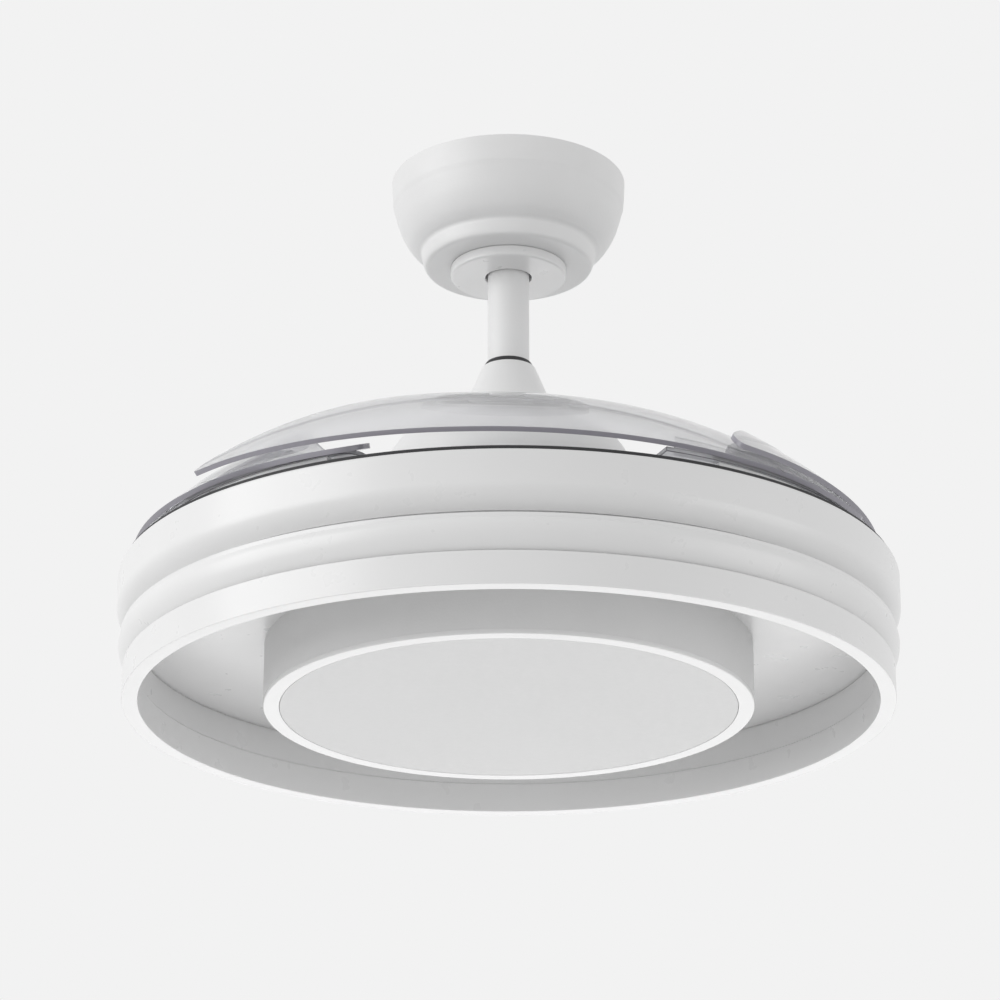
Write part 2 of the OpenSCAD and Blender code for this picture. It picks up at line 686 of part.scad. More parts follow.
// Height of the outer edge at step u from the root end
function edge_b(u) = blade_b + blade_climb * u
  + tip_climb * pow(max(0, (u / blade_span - climb_share) / (1 - climb_share)), 1.3);
// Share of the span after which the tip starts its extra climb
climb_share = 0.6;
// Widths of the blade at step u, as it grows from the root and as it tapers to the tip
function root_width(u) = blade_root_w + (blade_w - blade_root_w) * u / (root_share * blade_span);
function tip_width(u) = blade_w
  * pow(sin(90 * min(1, (blade_span - u + tip_keep) / (tip_share * blade_span))), tip_fullness);
// Width of the blade at step u: the lesser of the two, with a soft change from one to the other
function width(u) = pow(pow(root_width(u), -8) + pow(tip_width(u), -8), -1 / 8);
// Shares of the span over which the root grows and the tip tapers, the steps that the tip stays
// short of a point, and the power of its outline, where 1 is a sine
root_share = 0.57;
tip_share = 0.5;
tip_keep = 2;
tip_fullness = 0.76;
// Power of the blade's curve across its width, where 1 is a straight slope
dome_power = 1.5;
// Rounding of an end: how far the edge has drawn in, s millimetres from the end
function draw_in(s, r) = s >= r ? 0 : r - sqrt(r * r - (r - s) * (r - s));
function root_round(u) = draw_in(u * PI / 180 * blade_r, 16);
function tip_round(u) = draw_in((blade_span - u) * PI / 180 * blade_r, 4);
function outer_r(u) = blade_r - root_round(u) - tip_round(u);
function inner_r(u) = blade_r - width(u) + root_round(u) + tip_round(u);
// Rise of the blade's upper surface above its edge height at radius r
function rise(r) = blade_rise * (1 - pow(1 - min(1, (blade_r - r) / blade_w), dome_power));
function slope(r) = (rise(r - 0.5) - rise(r + 0.5));
// Share of that rise at step u: the root's end lies lower, and steps up to the full rise
root_low = 0.5;
root_step_from = 10;
root_step_to = 19;
function root_rise(u) =
  let (t = min(1, max(0, (u - root_step_from) / (root_step_to - root_step_from))))
  root_low + (1 - root_low) * t * t * (3 - 2 * t);
// A point of the blade at step u and share v across, sunk by w below the upper surface
function blade_point(u, v, w) =
  let (r = outer_r(u) + (inner_r(u) - outer_r(u)) * v, s = slope(min(r, blade_r - 0.5)) * root_rise(u),
    n = sqrt(1 + s * s), q = r - w * s / n, b = edge_b(u) + rise(r) * root_rise(u) - w / n,
    a = root_az - u - 90)
  [q * cos(a), q * sin(a), b];

across = 8;
blade_steps = concat([0, 0.35, 1, 2, 3.4], [for (u = [6:3:blade_span - 4]) u],
  [for (e = [1.4, 0.6, 0.2, 0]) blade_span - e]);

module blade_shell() {
  n = len(blade_steps);
  m = across + 1;
  top = [for (u = blade_steps, j = [0:across]) blade_point(u, j / across, 0)];
  low = [for (u = blade_steps, j = [0:across]) blade_point(u, j / across, blade_t)];
  cells = [for (i = [0:n - 2], j = [0:across - 1]) [i * m + j, (i + 1) * m + j]];
  top_faces = [for (c = cells) each [[c[0], c[1] + 1, c[0] + 1], [c[0], c[1], c[1] + 1]]];
  low_faces = [for (f = top_faces) [f[2] + n * m, f[1] + n * m, f[0] + n * m]];
  border = concat([for (j = [0:across]) j], [for (i = [1:n - 1]) i * m + across],
    [for (j = [across - 1:-1:0]) (n - 1) * m + j], [for (i = [n - 2:-1:1]) i * m]);
  sides = [for (k = [0:len(border) - 1]) let (a = border[k], b = border[(k + 1) % len(border)])
    each [[a, b + n * m, a + n * m], [a, b, b + n * m]]];
  polyhedron(concat(top, low), concat(top_faces, low_faces, sides));
}

// A rib between the mounting pad and the blade, in the plane of one radius
module blade_rib(u) rotate(step_angle(1, u)) translate([0, 0.8, 0]) rotate([90, 0, 0]) linear_extrude(1.6) {
  inner = pad_inner_r + 4;
  top = [for (r = [pad_outer_r - 1:-3:inner + 2]) [r, edge_b(u) + rise(r) * root_rise(u) - blade_t]];
  polygon(concat([[inner, pad_b + pad_t - eps], [pad_outer_r - 1, pad_b + pad_t - eps]],
    [for (p = top) if (p[1] > pad_b + pad_t + 0.5) p], [[inner, pad_b + pad_t + 8]]));
}

// Turns its children inwards about blade 1's pivot
module tucked(angle) at_pivot(1) rotate(-angle) translate([-pivot_r, 0, 0]) rotate(90 - pivot_az) children();

module blade(i) color("lightcyan", 0.5) in_drum() difference() {
  turn_to(i) tucked(i == 2 ? blade_tuck : 0) {
    blade_shell();
    translate([0, 0, pad_b]) linear_extrude(pad_t) {
      root_sector(pad_inner_r, pad_outer_r, pad_from, pad_to);
      rotate(step_angle(1, pad_from)) translate([(pad_inner_r + pad_outer_r) / 2, 0])
        circle(d = pad_outer_r - pad_inner_r);
    }
    for (u = rib_steps) blade_rib(u);
  }
  blade_screw_places(i) disc(1.7, pad_b - eps, pad_t + 1);
}

// ---- drum ----

module top_tray() color("gainsboro") in_drum() difference() {
  disc(tray_r, tray_b - tray_t, tray_t);
  disc(shaft_d / 2 + fit, 0, drum_h);
  for (i = [0:3]) rotate(45 + 90 * i) translate([post_ring_r, 0, 0]) disc(2.2, 0, drum_h);
}

module top_seal() color("black") in_drum() band(band_r - 2, band_r - 6, drum_h, seal_t);

// The upper band swells outwards from the groove and ends in an inward lip
function upper_outline(w) = [for (i = [0:8])
  [band_r - 4.8 + 4.8 * sin(90 * i / 8) - w, plate_top_b + 2 + 14 * i / 8]];

module upper_band() color("white") in_drum() rotate_extrude($fn = 128) polygon(concat(
  [[rim_r - 8, plate_top_b], [band_r - 4.8, plate_top_b]], upper_outline(0),
  [[band_r, drum_h - 2], [band_r - 0.6, drum_h - 0.6], [band_r - 2, drum_h],
   [band_r - 11, drum_h], [band_r - 11, drum_h - band_wall], [band_r - band_wall, drum_h - band_wall],
   [band_r - band_wall, tray_b - tray_t], [band_r - 8, tray_b - tray_t],
   [band_r - 8, tray_b - tray_t - band_wall], [band_r - band_wall, tray_b - tray_t - band_wall]],
  [for (i = [8:-1:0]) if (upper_outline(band_wall)[i][1] > plate_top_b + band_wall
    && upper_outline(band_wall)[i][1] < tray_b - tray_t - band_wall) upper_outline(band_wall)[i]],
  [[band_r - 4.8 - band_wall, plate_top_b + band_wall], [rim_r - 8, plate_top_b + band_wall]]));

// The middle band bulges between the lower band and the groove
bulge = band_r - rim_r + 0.4;
bulge_top_b = plate_b - 1;
function bulge_outline(w) = [for (i = [0:10])
  [rim_r - 2 + bulge * pow(sin(90 * min(1, i / 8)), 0.9) - 0.35 * pow(max(0, i - 8), 1.5) - w,
   lower_band_h + w + (bulge_top_b - lower_band_h - w) * i / 10]];

module middle_band() color("white") in_drum() rotate_extrude($fn = 128) polygon(concat(
  [[rim_r - 7, lower_band_h]], bulge_outline(0),
  [[rim_r + 2, bulge_top_b + 0.3], [rim_r + 2, plate_top_b - 1.2], [rim_r + 1.7, plate_top_b - 0.8],
   [plate_r + seat, plate_top_b - 0.8], [plate_r + seat, bulge_top_b - 1]],
  [for (i = [8:-1:0]) bulge_outline(band_wall)[i]], [[rim_r - 7, lower_band_h + band_wall]]));

// The lower band is a channel: outer wall, flat rim and the wall of the recess
module lower_band() color("white") in_drum() rotate_extrude($fn = 128) polygon([
  [recess_r, 0.8], [recess_r + 0.8, 0], [rim_r - 0.8, 0], [rim_r, 0.8], [rim_r, lower_band_h],
  [rim_r - band_wall, lower_band_h], [rim_r - band_wall, band_wall],
  [recess_r + 1.2 + band_wall / 2, band_wall], [recess_r + 1.2 + band_wall / 2, plate_b],
  [recess_r + 1.2, plate_b], [recess_r + 1.2, plate_b / 2], [recess_r, plate_b / 2 - 1]]);

module chassis_plate() color("white") in_drum() difference() {
  disc(plate_r, plate_b, plate_t);
  disc(30, plate_b - 1, plate_t + 2);
  for (i = [0:2]) rotate(i * 120) translate([lamp_stud_r, 0, plate_b - 1])
    cylinder(r = 2.7, h = plate_t + 2);
}

module chassis_posts() color("silver") in_drum() for (i = [0:3]) rotate(45 + 90 * i)
  translate([post_ring_r, 0, 0]) {
    disc(post_r, plate_top_b, tray_b - tray_t - plate_top_b);
    disc(2, tray_b - tray_t - 1, tray_t + 2.5);
    translate([0, 0, tray_b]) cylinder(r = 4, h = 2.2, $fn = 6);
  }

driver_y = 110;
driver_w = 42;
driver_l = 110;
module led_driver() color("white") in_drum()
  translate([-driver_l / 2, driver_y - driver_w / 2, plate_top_b])
    cube([driver_l, driver_w, tray_b - tray_t - plate_top_b - 2]);

// ---- lamp ----

module lamp_housing() color("white") in_drum() {
  difference() {
    disc(lamp_r, 3, plate_b - 3);
    disc(lamp_r - housing_t, 2, plate_b - housing_t - 2);
    disc(14, plate_b - housing_t - 1, housing_t + 2);
  }
  for (i = [0:2]) rotate(i * 120) translate([lamp_stud_r, 0, 0]) {
    disc(2.5, plate_b - eps, plate_t + 6);
    translate([0, 0, plate_top_b]) cylinder(r = 4.6, h = 3.5, $fn = 6);
  }
}

module led_board() color("white") in_drum()
  band(lamp_r - 19, 20, plate_b - housing_t - board_t, board_t);

module led_chips() color("khaki") in_drum() {
  rings = [[lamp_r - 34, led_count], [lamp_r - 89, round(led_count / 2)]];
  for (g = rings, i = [0:g[1] - 1]) rotate(i * 360 / g[1])
    translate([g[0] - 1.75, -1.4, plate_b - housing_t - board_t - 1]) cube([3.5, 2.8, 1]);
}

module lamp_bezel() color("white") in_drum() rotate_extrude($fn = 128) polygon([
  [lens_r, 0], [lamp_r - 0.6, 0], [lamp_r, 0.6], [lamp_r, 3], [lamp_r - housing_t - fit, 3],
  [lamp_r - housing_t - fit, 9], [lens_r + 3.5, 9], [lens_r + 3.5, lens_b + diffuser_t + 2],
  [lens_r - 4.5, lens_b + diffuser_t + 2], [lens_r - 4.5, lens_b + diffuser_t],
  [lens_r, lens_b + diffuser_t]]);

module lamp_lens() color("gainsboro") in_drum() disc(lens_r - 0.2, lens_b, diffuser_t);

ceiling_bracket();
receiver();
terminal_block();
hanger_ball();
ball_pin();
canopy();
canopy_screws();
canopy_disc();
down_rod();
lead_wires();
coupling();
coupling_pin();
coupling_set_screws();
cone_cover();
cone_seal();
motor_cover();
cover_screws();
motor_shaft();
shaft_nut();
stator_core();
stator_windings();
bearing_inner_races();
bearing_outer_races();
bearing_balls();
rotor_lower_shell();
rotor_upper_shell();
rotor_screws();
rotor_magnets();
blade_carrier();
carrier_screws();
pivot_pins();
pivot_clips();
ring_retainers();
blade_springs();
sync_ring();
blade_arm(1);  // blade_arm_1
blade_arm(2);  // blade_arm_2
blade_arm(3);  // blade_arm_3
blade_arm(4);  // blade_arm_4
blade(1);  // blade_1
blade(2);  // blade_2
blade(3);  // blade_3
blade(4);  // blade_4
blade_screws(1);  // blade_screws_1
blade_screws(2);  // blade_screws_2
blade_screws(3);  // blade_screws_3
blade_screws(4);  // blade_screws_4
top_tray();
top_seal();
upper_band();
middle_band();
lower_band();
chassis_plate();
chassis_posts();
led_driver();
lamp_housing();
led_board();
led_chips();
lamp_bezel();
lamp_lens();
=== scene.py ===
"""Dresses the retractable blade ceiling fan: outer shells, clear blades, finishes, stage and camera.

Heights named with _b, and the heights in the outlines of the drum, are in millimetres above the
drum's bottom rim. Everything in a mesh is in metres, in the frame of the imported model.
"""

import json
import math

import bmesh
import bpy
from bpy.props import FloatProperty, FloatVectorProperty, IntProperty, PointerProperty
from mathutils import Matrix, Vector
from mathutils.geometry import interpolate_bezier


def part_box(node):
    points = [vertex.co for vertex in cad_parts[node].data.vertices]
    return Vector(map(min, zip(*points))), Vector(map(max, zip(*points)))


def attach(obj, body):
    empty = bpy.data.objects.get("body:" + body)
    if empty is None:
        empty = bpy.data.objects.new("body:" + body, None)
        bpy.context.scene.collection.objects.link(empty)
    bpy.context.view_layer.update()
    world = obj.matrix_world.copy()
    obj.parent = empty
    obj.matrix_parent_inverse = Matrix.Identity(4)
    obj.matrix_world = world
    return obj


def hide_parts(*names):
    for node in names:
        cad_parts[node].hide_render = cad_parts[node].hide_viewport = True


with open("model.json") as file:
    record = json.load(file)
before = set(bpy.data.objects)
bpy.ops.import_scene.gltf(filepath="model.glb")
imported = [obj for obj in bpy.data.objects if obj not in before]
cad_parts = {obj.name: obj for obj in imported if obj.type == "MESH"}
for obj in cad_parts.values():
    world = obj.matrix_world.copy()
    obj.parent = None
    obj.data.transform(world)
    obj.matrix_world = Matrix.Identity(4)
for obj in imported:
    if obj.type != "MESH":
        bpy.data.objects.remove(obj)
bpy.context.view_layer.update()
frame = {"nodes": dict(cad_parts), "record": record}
RIM_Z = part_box("lower_band")[0].z
MM = 0.001
BLADE_COUNT = 4

bl_info = {
    "name": "Retractable blade ceiling fan",
    "version": (1, 0, 0),
    "blender": (4, 5, 0),
    "location": "View3D > Sidebar > Ceiling fan",
    "description": "Makes the visible pieces and finishes of a ceiling fan round its packed frame",
    "category": "Object",
}


# ---- settings ----


class FanSizes(bpy.types.PropertyGroup):
    """Sizes of the pieces that are made here."""

    turn_steps: IntProperty(
        name="Turn steps",
        description="Faces round the axis of each spun piece",
        default=192,
        min=48,
        max=512,
    )
    corner_round: FloatProperty(
        name="Corner rounding",
        description="Rounding of the moulded corners of the drum",
        default=0.0006,
        min=0.0001,
        max=0.002,
        subtype="DISTANCE",
        unit="LENGTH",
    )
    blade_radius: FloatProperty(
        name="Blade radius",
        description="Radius of the folded blades' outer edge",
        default=0.246,
        subtype="DISTANCE",
        unit="LENGTH",
    )
    blade_root: FloatProperty(
        name="Blade root",
        description="Angle of blade 1's root end, round from the front",
        default=math.radians(68),
        subtype="ANGLE",
        unit="ROTATION",
    )
    blade_span: FloatProperty(
        name="Blade span",
        description="Angle that one folded blade covers",
        default=math.radians(121),
        subtype="ANGLE",
        unit="ROTATION",
    )
    blade_width: FloatProperty(
        name="Blade width",
        description="Width of a blade at its middle",
        default=0.093,
        subtype="DISTANCE",
        unit="LENGTH",
    )
    blade_root_width: FloatProperty(
        name="Blade root width",
        description="Width of a blade at its root end",
        default=0.034,
        subtype="DISTANCE",
        unit="LENGTH",
    )
    blade_rise: FloatProperty(
        name="Blade rise",
        description="Rise of a blade from its outer edge to its inner edge",
        default=0.058,
        subtype="DISTANCE",
        unit="LENGTH",
    )
    blade_thickness: FloatProperty(
        name="Blade thickness",
        description="Thickness of the clear plastic",
        default=0.0032,
        subtype="DISTANCE",
        unit="LENGTH",
    )


class FanFinishes(bpy.types.PropertyGroup):
    """Colours of the main finishes."""

    paint: FloatVectorProperty(
        name="Powder coat",
        description="Colour of the painted metal",
        default=(0.78, 0.78, 0.78),
        size=3,
        subtype="COLOR",
        min=0,
        max=1,
    )
    shell: FloatVectorProperty(
        name="Moulded shell",
        description="Colour of the drum's moulded plastic",
        default=(0.79, 0.79, 0.79),
        size=3,
        subtype="COLOR",
        min=0,
        max=1,
    )
    # Painted light: the rim and bezel are the drum's own white plastic, drawn lighter than the shell for the
    # light on their downward faces; their lower roughness is real polish
    rim: FloatVectorProperty(
        name="Rim",
        description="Colour of the polished rim and of the lamp's bezel",
        default=(0.85, 0.85, 0.85),
        size=3,
        subtype="COLOR",
        min=0,
        max=1,
    )
    diffuser: FloatVectorProperty(
        name="Diffuser",
        description="Colour of the unlit opal diffuser",
        default=(0.76, 0.76, 0.76),
        size=3,
        subtype="COLOR",
        min=0,
        max=1,
    )
    clear: FloatVectorProperty(
        name="Clear plastic",
        description="Tint of the clear blades",
        default=(0.82, 0.82, 0.835),
        size=3,
        subtype="COLOR",
        min=0,
        max=1,
    )
    # Painted shade: the grey of the clear edge and the darker lines of its rounded corners stand in for how
    # light bending in the clear plastic darkens its edges
    clear_edge: FloatVectorProperty(
        name="Blade edge",
        description="Colour that the blades' polished outer edge shows",
        default=(0.34, 0.33, 0.37),
        size=3,
        subtype="COLOR",
        min=0,
        max=1,
    )
    clear_line: FloatVectorProperty(
        name="Blade edge lines",
        description="Colour that the rounded corners of the clear plastic show",
        default=(0.10, 0.097, 0.112),
        size=3,
        subtype="COLOR",
        min=0,
        max=1,
    )


class FanStage(bpy.types.PropertyGroup):
    """Floor and light."""

    backdrop: FloatProperty(
        name="Backdrop",
        description="Grey of the backdrop, where 1 is white",
        default=0.888,
        min=0,
        max=1,
    )
    sky: FloatProperty(
        name="Room light",
        description="Strength of the even light from all sides",
        default=0.60,
        min=0,
        max=3,
    )
    key: FloatProperty(
        name="Key light",
        description="Power of the soft light on the left",
        default=44,
        min=0,
        max=500,
        subtype="POWER",
        unit="POWER",
    )
    fill: FloatProperty(
        name="Fill light",
        description="Power of the soft light on the right",
        default=16,
        min=0,
        max=500,
        subtype="POWER",
        unit="POWER",
    )
    under: FloatProperty(
        name="Low light",
        description="Power of the soft light low behind the fan",
        default=24,
        min=0,
        max=500,
        subtype="POWER",
        unit="POWER",
    )
    floor_z: FloatProperty(
        name="Floor",
        description="Height of the floor below the ceiling",
        default=-3.6,
        subtype="DISTANCE",
        unit="LENGTH",
    )


# ---- node materials ----


def new_finish(name):
    """A new node material, its node tree and its Principled shader."""
    finish = bpy.data.materials.new(name)
    finish.use_nodes = True
    tree = finish.node_tree
    shader = tree.nodes["Principled BSDF"]
    return finish, tree, shader


def placed(tree, scale=(1, 1, 1)):
    """Object coordinates through a Mapping node, in metres times scale."""
    where = tree.nodes.new("ShaderNodeTexCoord")
    mapping = tree.nodes.new("ShaderNodeMapping")
    mapping.inputs["Scale"].default_value = scale
    tree.links.new(where.outputs["Object"], mapping.inputs["Vector"])
    return mapping.outputs["Vector"]


def noise(tree, place, scale, detail=3.0, roughness=0.55):
    """A noise texture's value, 0 to 1."""
    node = tree.nodes.new("ShaderNodeTexNoise")
    node.inputs["Scale"].default_value = scale
    node.inputs["Detail"].default_value = detail
    node.inputs["Roughness"].default_value = roughness
    tree.links.new(place, node.inputs["Vector"])
    return node.outputs["Fac"]


def waves(tree, place, scale, rings=False, distortion=0.0):
    """The value, 0 to 1, of level bands or of rings round the fan's axis."""
    node = tree.nodes.new("ShaderNodeTexWave")
    node.wave_type = "RINGS" if rings else "BANDS"
    node.bands_direction = "Z"
    node.rings_direction = "Z"
    node.inputs["Scale"].default_value = scale
    node.inputs["Distortion"].default_value = distortion
    tree.links.new(place, node.inputs["Vector"])
    return node.outputs["Fac"]


def ramp(tree, value, stops):
    """A colour ramp over value, with stops of (place, colour)."""
    node = tree.nodes.new("ShaderNodeValToRGB")
    elements = node.color_ramp.elements
    elements[0].position, elements[0].color = stops[0][0], (*stops[0][1], 1)
    elements[1].position, elements[1].color = stops[-1][0], (*stops[-1][1], 1)
    for place, colour in stops[1:-1]:
        elements.new(place).color = (*colour, 1)
    tree.links.new(value, node.inputs["Fac"])
    return node.outputs["Color"]


def between(tree, value, low, high):
    """value, 0.3 to 0.7, spread over low to high."""
    node = tree.nodes.new("ShaderNodeMapRange")
    node.inputs["From Min"].default_value = 0.3
    node.inputs["From Max"].default_value = 0.7
    node.inputs["To Min"].default_value = low
    node.inputs["To Max"].default_value = high
    tree.links.new(value, node.inputs["Value"])
    return node.outputs["Result"]


def raise_surface(tree, shader, heights):
    """Bumps the surface by (value, strength, distance) layers, one after the other."""
    last = None
    for value, strength, distance in heights:
        bump = tree.nodes.new("ShaderNodeBump")
        bump.inputs["Strength"].default_value = strength
        bump.inputs["Distance"].default_value = distance
        tree.links.new(value, bump.inputs["Height"])
        if last:
            tree.links.new(last, bump.inputs["Normal"])
        last = bump.outputs["Normal"]
    tree.links.new(last, shader.inputs["Normal"])


def shade(colour, factor):
    """colour made lighter or darker by factor, up to white."""
    return tuple(min(1.0, c * factor) for c in colour)


def powder_coat(name, colour):
    """White powder coat: a fine pebbled skin with faint clouds in its tone."""
    finish, tree, shader = new_finish(name)
    place = placed(tree)
    clouds = noise(tree, place, 14, 2)
    pebbles = noise(tree, place, 620, 2, 0.4)
    tree.links.new(
        ramp(tree, clouds, [(0.3, shade(colour, 0.975)), (0.7, shade(colour, 1.02))]),
        shader.inputs["Base Color"],
    )
    tree.links.new(between(tree, pebbles, 0.40, 0.54), shader.inputs["Roughness"])
    raise_surface(tree, shader, [(pebbles, 0.35, 0.00018), (noise(tree, place, 2100, 2), 0.2, 0.00005)])
    return finish


def moulded_plastic(name, colour, low=0.34, high=0.46, grain=1500, depth=0.00003):
    """Moulded plastic: even tone, fine spark-eroded grain and slow sheen changes."""
    finish, tree, shader = new_finish(name)
    place = placed(tree)
    clouds = noise(tree, place, 9, 2)
    fine = noise(tree, place, grain, 3)
    tree.links.new(
        ramp(tree, clouds, [(0.3, shade(colour, 0.985)), (0.7, shade(colour, 1.012))]),
        shader.inputs["Base Color"],
    )
    tree.links.new(between(tree, noise(tree, place, 55, 3), low, high), shader.inputs["Roughness"])
    raise_surface(tree, shader, [(fine, 0.14, depth)])
    return finish


def opal_diffuser(name, colour):
    """Opal diffuser: a matt sheet with a fine prismatic pattern."""
    finish, tree, shader = new_finish(name)
    place = placed(tree)
    cells = tree.nodes.new("ShaderNodeTexVoronoi")
    cells.inputs["Scale"].default_value = 700
    cells.inputs["Randomness"].default_value = 0.3
    tree.links.new(place, cells.inputs["Vector"])
    tree.links.new(
        ramp(tree, noise(tree, place, 7, 2), [(0.3, shade(colour, 0.985)), (0.7, shade(colour, 1.01))]),
        shader.inputs["Base Color"],
    )
    tree.links.new(between(tree, noise(tree, place, 240, 2), 0.45, 0.6), shader.inputs["Roughness"])
    raise_surface(tree, shader, [(cells.outputs["Distance"], 0.25, 0.00005)])
    return finish


CLEARNESS = 0.68
ACRYLIC_IOR = 1.45
# Painted shade beside the crease: millimetres beyond the crease at which it begins and ends, and its greys by
# share of that way
CREASE_REACH = (-40, 10)
CREASE_PAINTED_SHADE = (
    (0.0, 1.0), (0.25, 1.0), (0.5, 0.93), (0.72, 0.81), (0.785, 0.75), (0.80, 0.66), (0.815, 0.74),
    (0.83, 0.92), (1.0, 0.93),
)
# Value of the fold attribute on the plates and ribs, which have no crease and so none of its painted shade
FAR_FROM_CREASE = -60.0


def clear_plastic(name, colour):
    """Clear, slightly milky plastic that lets the lamps through, with mould waves and painted shade beside
    the crease.
    """
    finish, tree, shader = new_finish(name)
    place = placed(tree)
    shader.inputs["Transmission Weight"].default_value = CLEARNESS
    shader.inputs["IOR"].default_value = ACRYLIC_IOR
    clouds = ramp(tree, noise(tree, place, 22, 2), [(0.3, shade(colour, 0.98)), (0.7, shade(colour, 1.015))])
    tint_and_crease_shade = tree.nodes.new("ShaderNodeMix")
    tint_and_crease_shade.data_type = "RGBA"
    tint_and_crease_shade.blend_type = "MULTIPLY"
    tint_and_crease_shade.inputs["Factor"].default_value = 1.0
    tree.links.new(clouds, tint_and_crease_shade.inputs["A"])
    # painted shade beside the crease, multiplied into the plastic's tint
    tree.links.new(painted_crease_shade(tree), tint_and_crease_shade.inputs["B"])
    tree.links.new(tint_and_crease_shade.outputs["Result"], shader.inputs["Base Color"])
    tree.links.new(between(tree, noise(tree, place, 90, 2), 0.02, 0.06), shader.inputs["Roughness"])
    raise_surface(tree, shader, [(noise(tree, place, 38, 2), 0.12, 0.0004)])
    lets_lamps_through(tree, shader, shade(colour, 1.05))
    return finish


def painted_crease_shade(tree):
    """Painted shade by the piece's own fold attribute, the millimetres beyond the crease: darkest at 0, where
    the crease is.
    """
    fold = tree.nodes.new("ShaderNodeAttribute")
    fold.attribute_name = "fold"
    spread = tree.nodes.new("ShaderNodeMapRange")
    spread.inputs["From Min"].default_value = CREASE_REACH[0]
    spread.inputs["From Max"].default_value = CREASE_REACH[1]
    tree.links.new(fold.outputs["Fac"], spread.inputs["Value"])
    return ramp(tree, spread.outputs["Result"], [(at, (grey, grey, grey)) for at, grey in CREASE_PAINTED_SHADE])


def lets_lamps_through(tree, shader, colour):
    """Light from the lamps passes the piece, so that it casts a pale shadow."""
    path = tree.nodes.new("ShaderNodeLightPath")
    hole = tree.nodes.new("ShaderNodeBsdfTransparent")
    hole.inputs["Color"].default_value = (*colour, 1)
    mix = tree.nodes.new("ShaderNodeMixShader")
    output = tree.nodes["Material Output"]
    tree.links.new(path.outputs["Is Shadow Ray"], mix.inputs[0])
    tree.links.new(shader.outputs["BSDF"], mix.inputs[1])
    tree.links.new(hole.outputs["BSDF"], mix.inputs[2])
    tree.links.new(mix.outputs["Shader"], output.inputs["Surface"])


def metal(name, colour, low, high, grain, spread=0.08, stretch=(1, 1, 1), depth=0.00004):
    """Plain metal: grain stretched along the working direction, over a cloudy tone."""
    finish, tree, shader = new_finish(name)
    place = placed(tree)
    shader.inputs["Metallic"].default_value = 1.0
    clouds = noise(tree, place, 30, 4)
    lines = noise(tree, placed(tree, stretch), grain, 4)
    tree.links.new(
        ramp(tree, clouds, [(0.25, shade(colour, 1 - spread)), (0.75, shade(colour, 1 + spread))]),
        shader.inputs["Base Color"],
    )
    tree.links.new(between(tree, lines, low, high), shader.inputs["Roughness"])
    raise_surface(tree, shader, [(lines, 0.3, depth)])
    return finish


def rubber(name, colour):
    """Matt black rubber with a dusty grain."""
    finish, tree, shader = new_finish(name)
    place = placed(tree)
    fine = noise(tree, place, 900, 3)
    tree.links.new(
        ramp(tree, fine, [(0.3, shade(colour, 0.7)), (0.7, shade(colour, 1.6))]),
        shader.inputs["Base Color"],
    )
    tree.links.new(between(tree, fine, 0.6, 0.8), shader.inputs["Roughness"])
    raise_surface(tree, shader, [(fine, 0.4, 0.00006)])
    return finish


def stacked_sheets(name, colour):
    """The stator's stack of thin steel sheets."""
    finish, tree, shader = new_finish(name)
    place = placed(tree)
    shader.inputs["Metallic"].default_value = 0.8
    sheets = waves(tree, place, 628, distortion=0.4)
    tree.links.new(
        ramp(tree, sheets, [(0.2, shade(colour, 0.45)), (0.6, colour), (0.9, shade(colour, 1.25))]),
        shader.inputs["Base Color"],
    )
    tree.links.new(between(tree, noise(tree, place, 300, 3), 0.35, 0.55), shader.inputs["Roughness"])
    raise_surface(tree, shader, [(sheets, 0.5, 0.00015)])
    return finish


def wound_wire(name, colour):
    """Enamelled copper wound round each tooth, so its turns follow the radius."""
    finish, tree, shader = new_finish(name)
    place = placed(tree)
    shader.inputs["Metallic"].default_value = 0.85
    turns = waves(tree, place, 390, rings=True, distortion=0.6)
    tree.links.new(
        ramp(tree, turns, [(0.1, shade(colour, 0.25)), (0.5, colour), (0.9, shade(colour, 1.2))]),
        shader.inputs["Base Color"],
    )
    tree.links.new(between(tree, noise(tree, place, 200, 2), 0.22, 0.38), shader.inputs["Roughness"])
    raise_surface(tree, shader, [(turns, 0.8, 0.0004)])
    return finish


def three_leads(name):
    """Insulation of the three leads: black on the left, white in front, red behind."""
    finish, tree, shader = new_finish(name)
    place = placed(tree)
    axes = tree.nodes.new("ShaderNodeSeparateXYZ")
    tree.links.new(place, axes.inputs["Vector"])
    left = tree.nodes.new("ShaderNodeMath")
    left.operation = "LESS_THAN"
    left.inputs[1].default_value = 0.0
    tree.links.new(axes.outputs["X"], left.inputs[0])
    front = tree.nodes.new("ShaderNodeMath")
    front.operation = "LESS_THAN"
    front.inputs[1].default_value = 0.0
    tree.links.new(axes.outputs["Y"], front.inputs[0])
    grain = noise(tree, place, 800, 2)
    black = ramp(tree, grain, [(0.3, (0.012, 0.012, 0.012)), (0.7, (0.03, 0.03, 0.03))])
    white = ramp(tree, grain, [(0.3, (0.68, 0.68, 0.66)), (0.7, (0.8, 0.8, 0.78))])
    red = ramp(tree, grain, [(0.3, (0.38, 0.02, 0.02)), (0.7, (0.5, 0.04, 0.03))])
    tree.links.new(chosen(tree, left.outputs[0], chosen(tree, front.outputs[0], red, white), black),
                   shader.inputs["Base Color"])
    tree.links.new(between(tree, grain, 0.42, 0.55), shader.inputs["Roughness"])
    raise_surface(tree, shader, [(grain, 0.2, 0.00003)])
    return finish


def chosen(tree, factor, first, second):
    """The colour first where factor is 0, and second where it is 1."""
    mix = tree.nodes.new("ShaderNodeMix")
    mix.data_type = "RGBA"
    tree.links.new(factor, mix.inputs["Factor"])
    tree.links.new(first, mix.inputs["A"])
    tree.links.new(second, mix.inputs["B"])
    return mix.outputs["Result"]


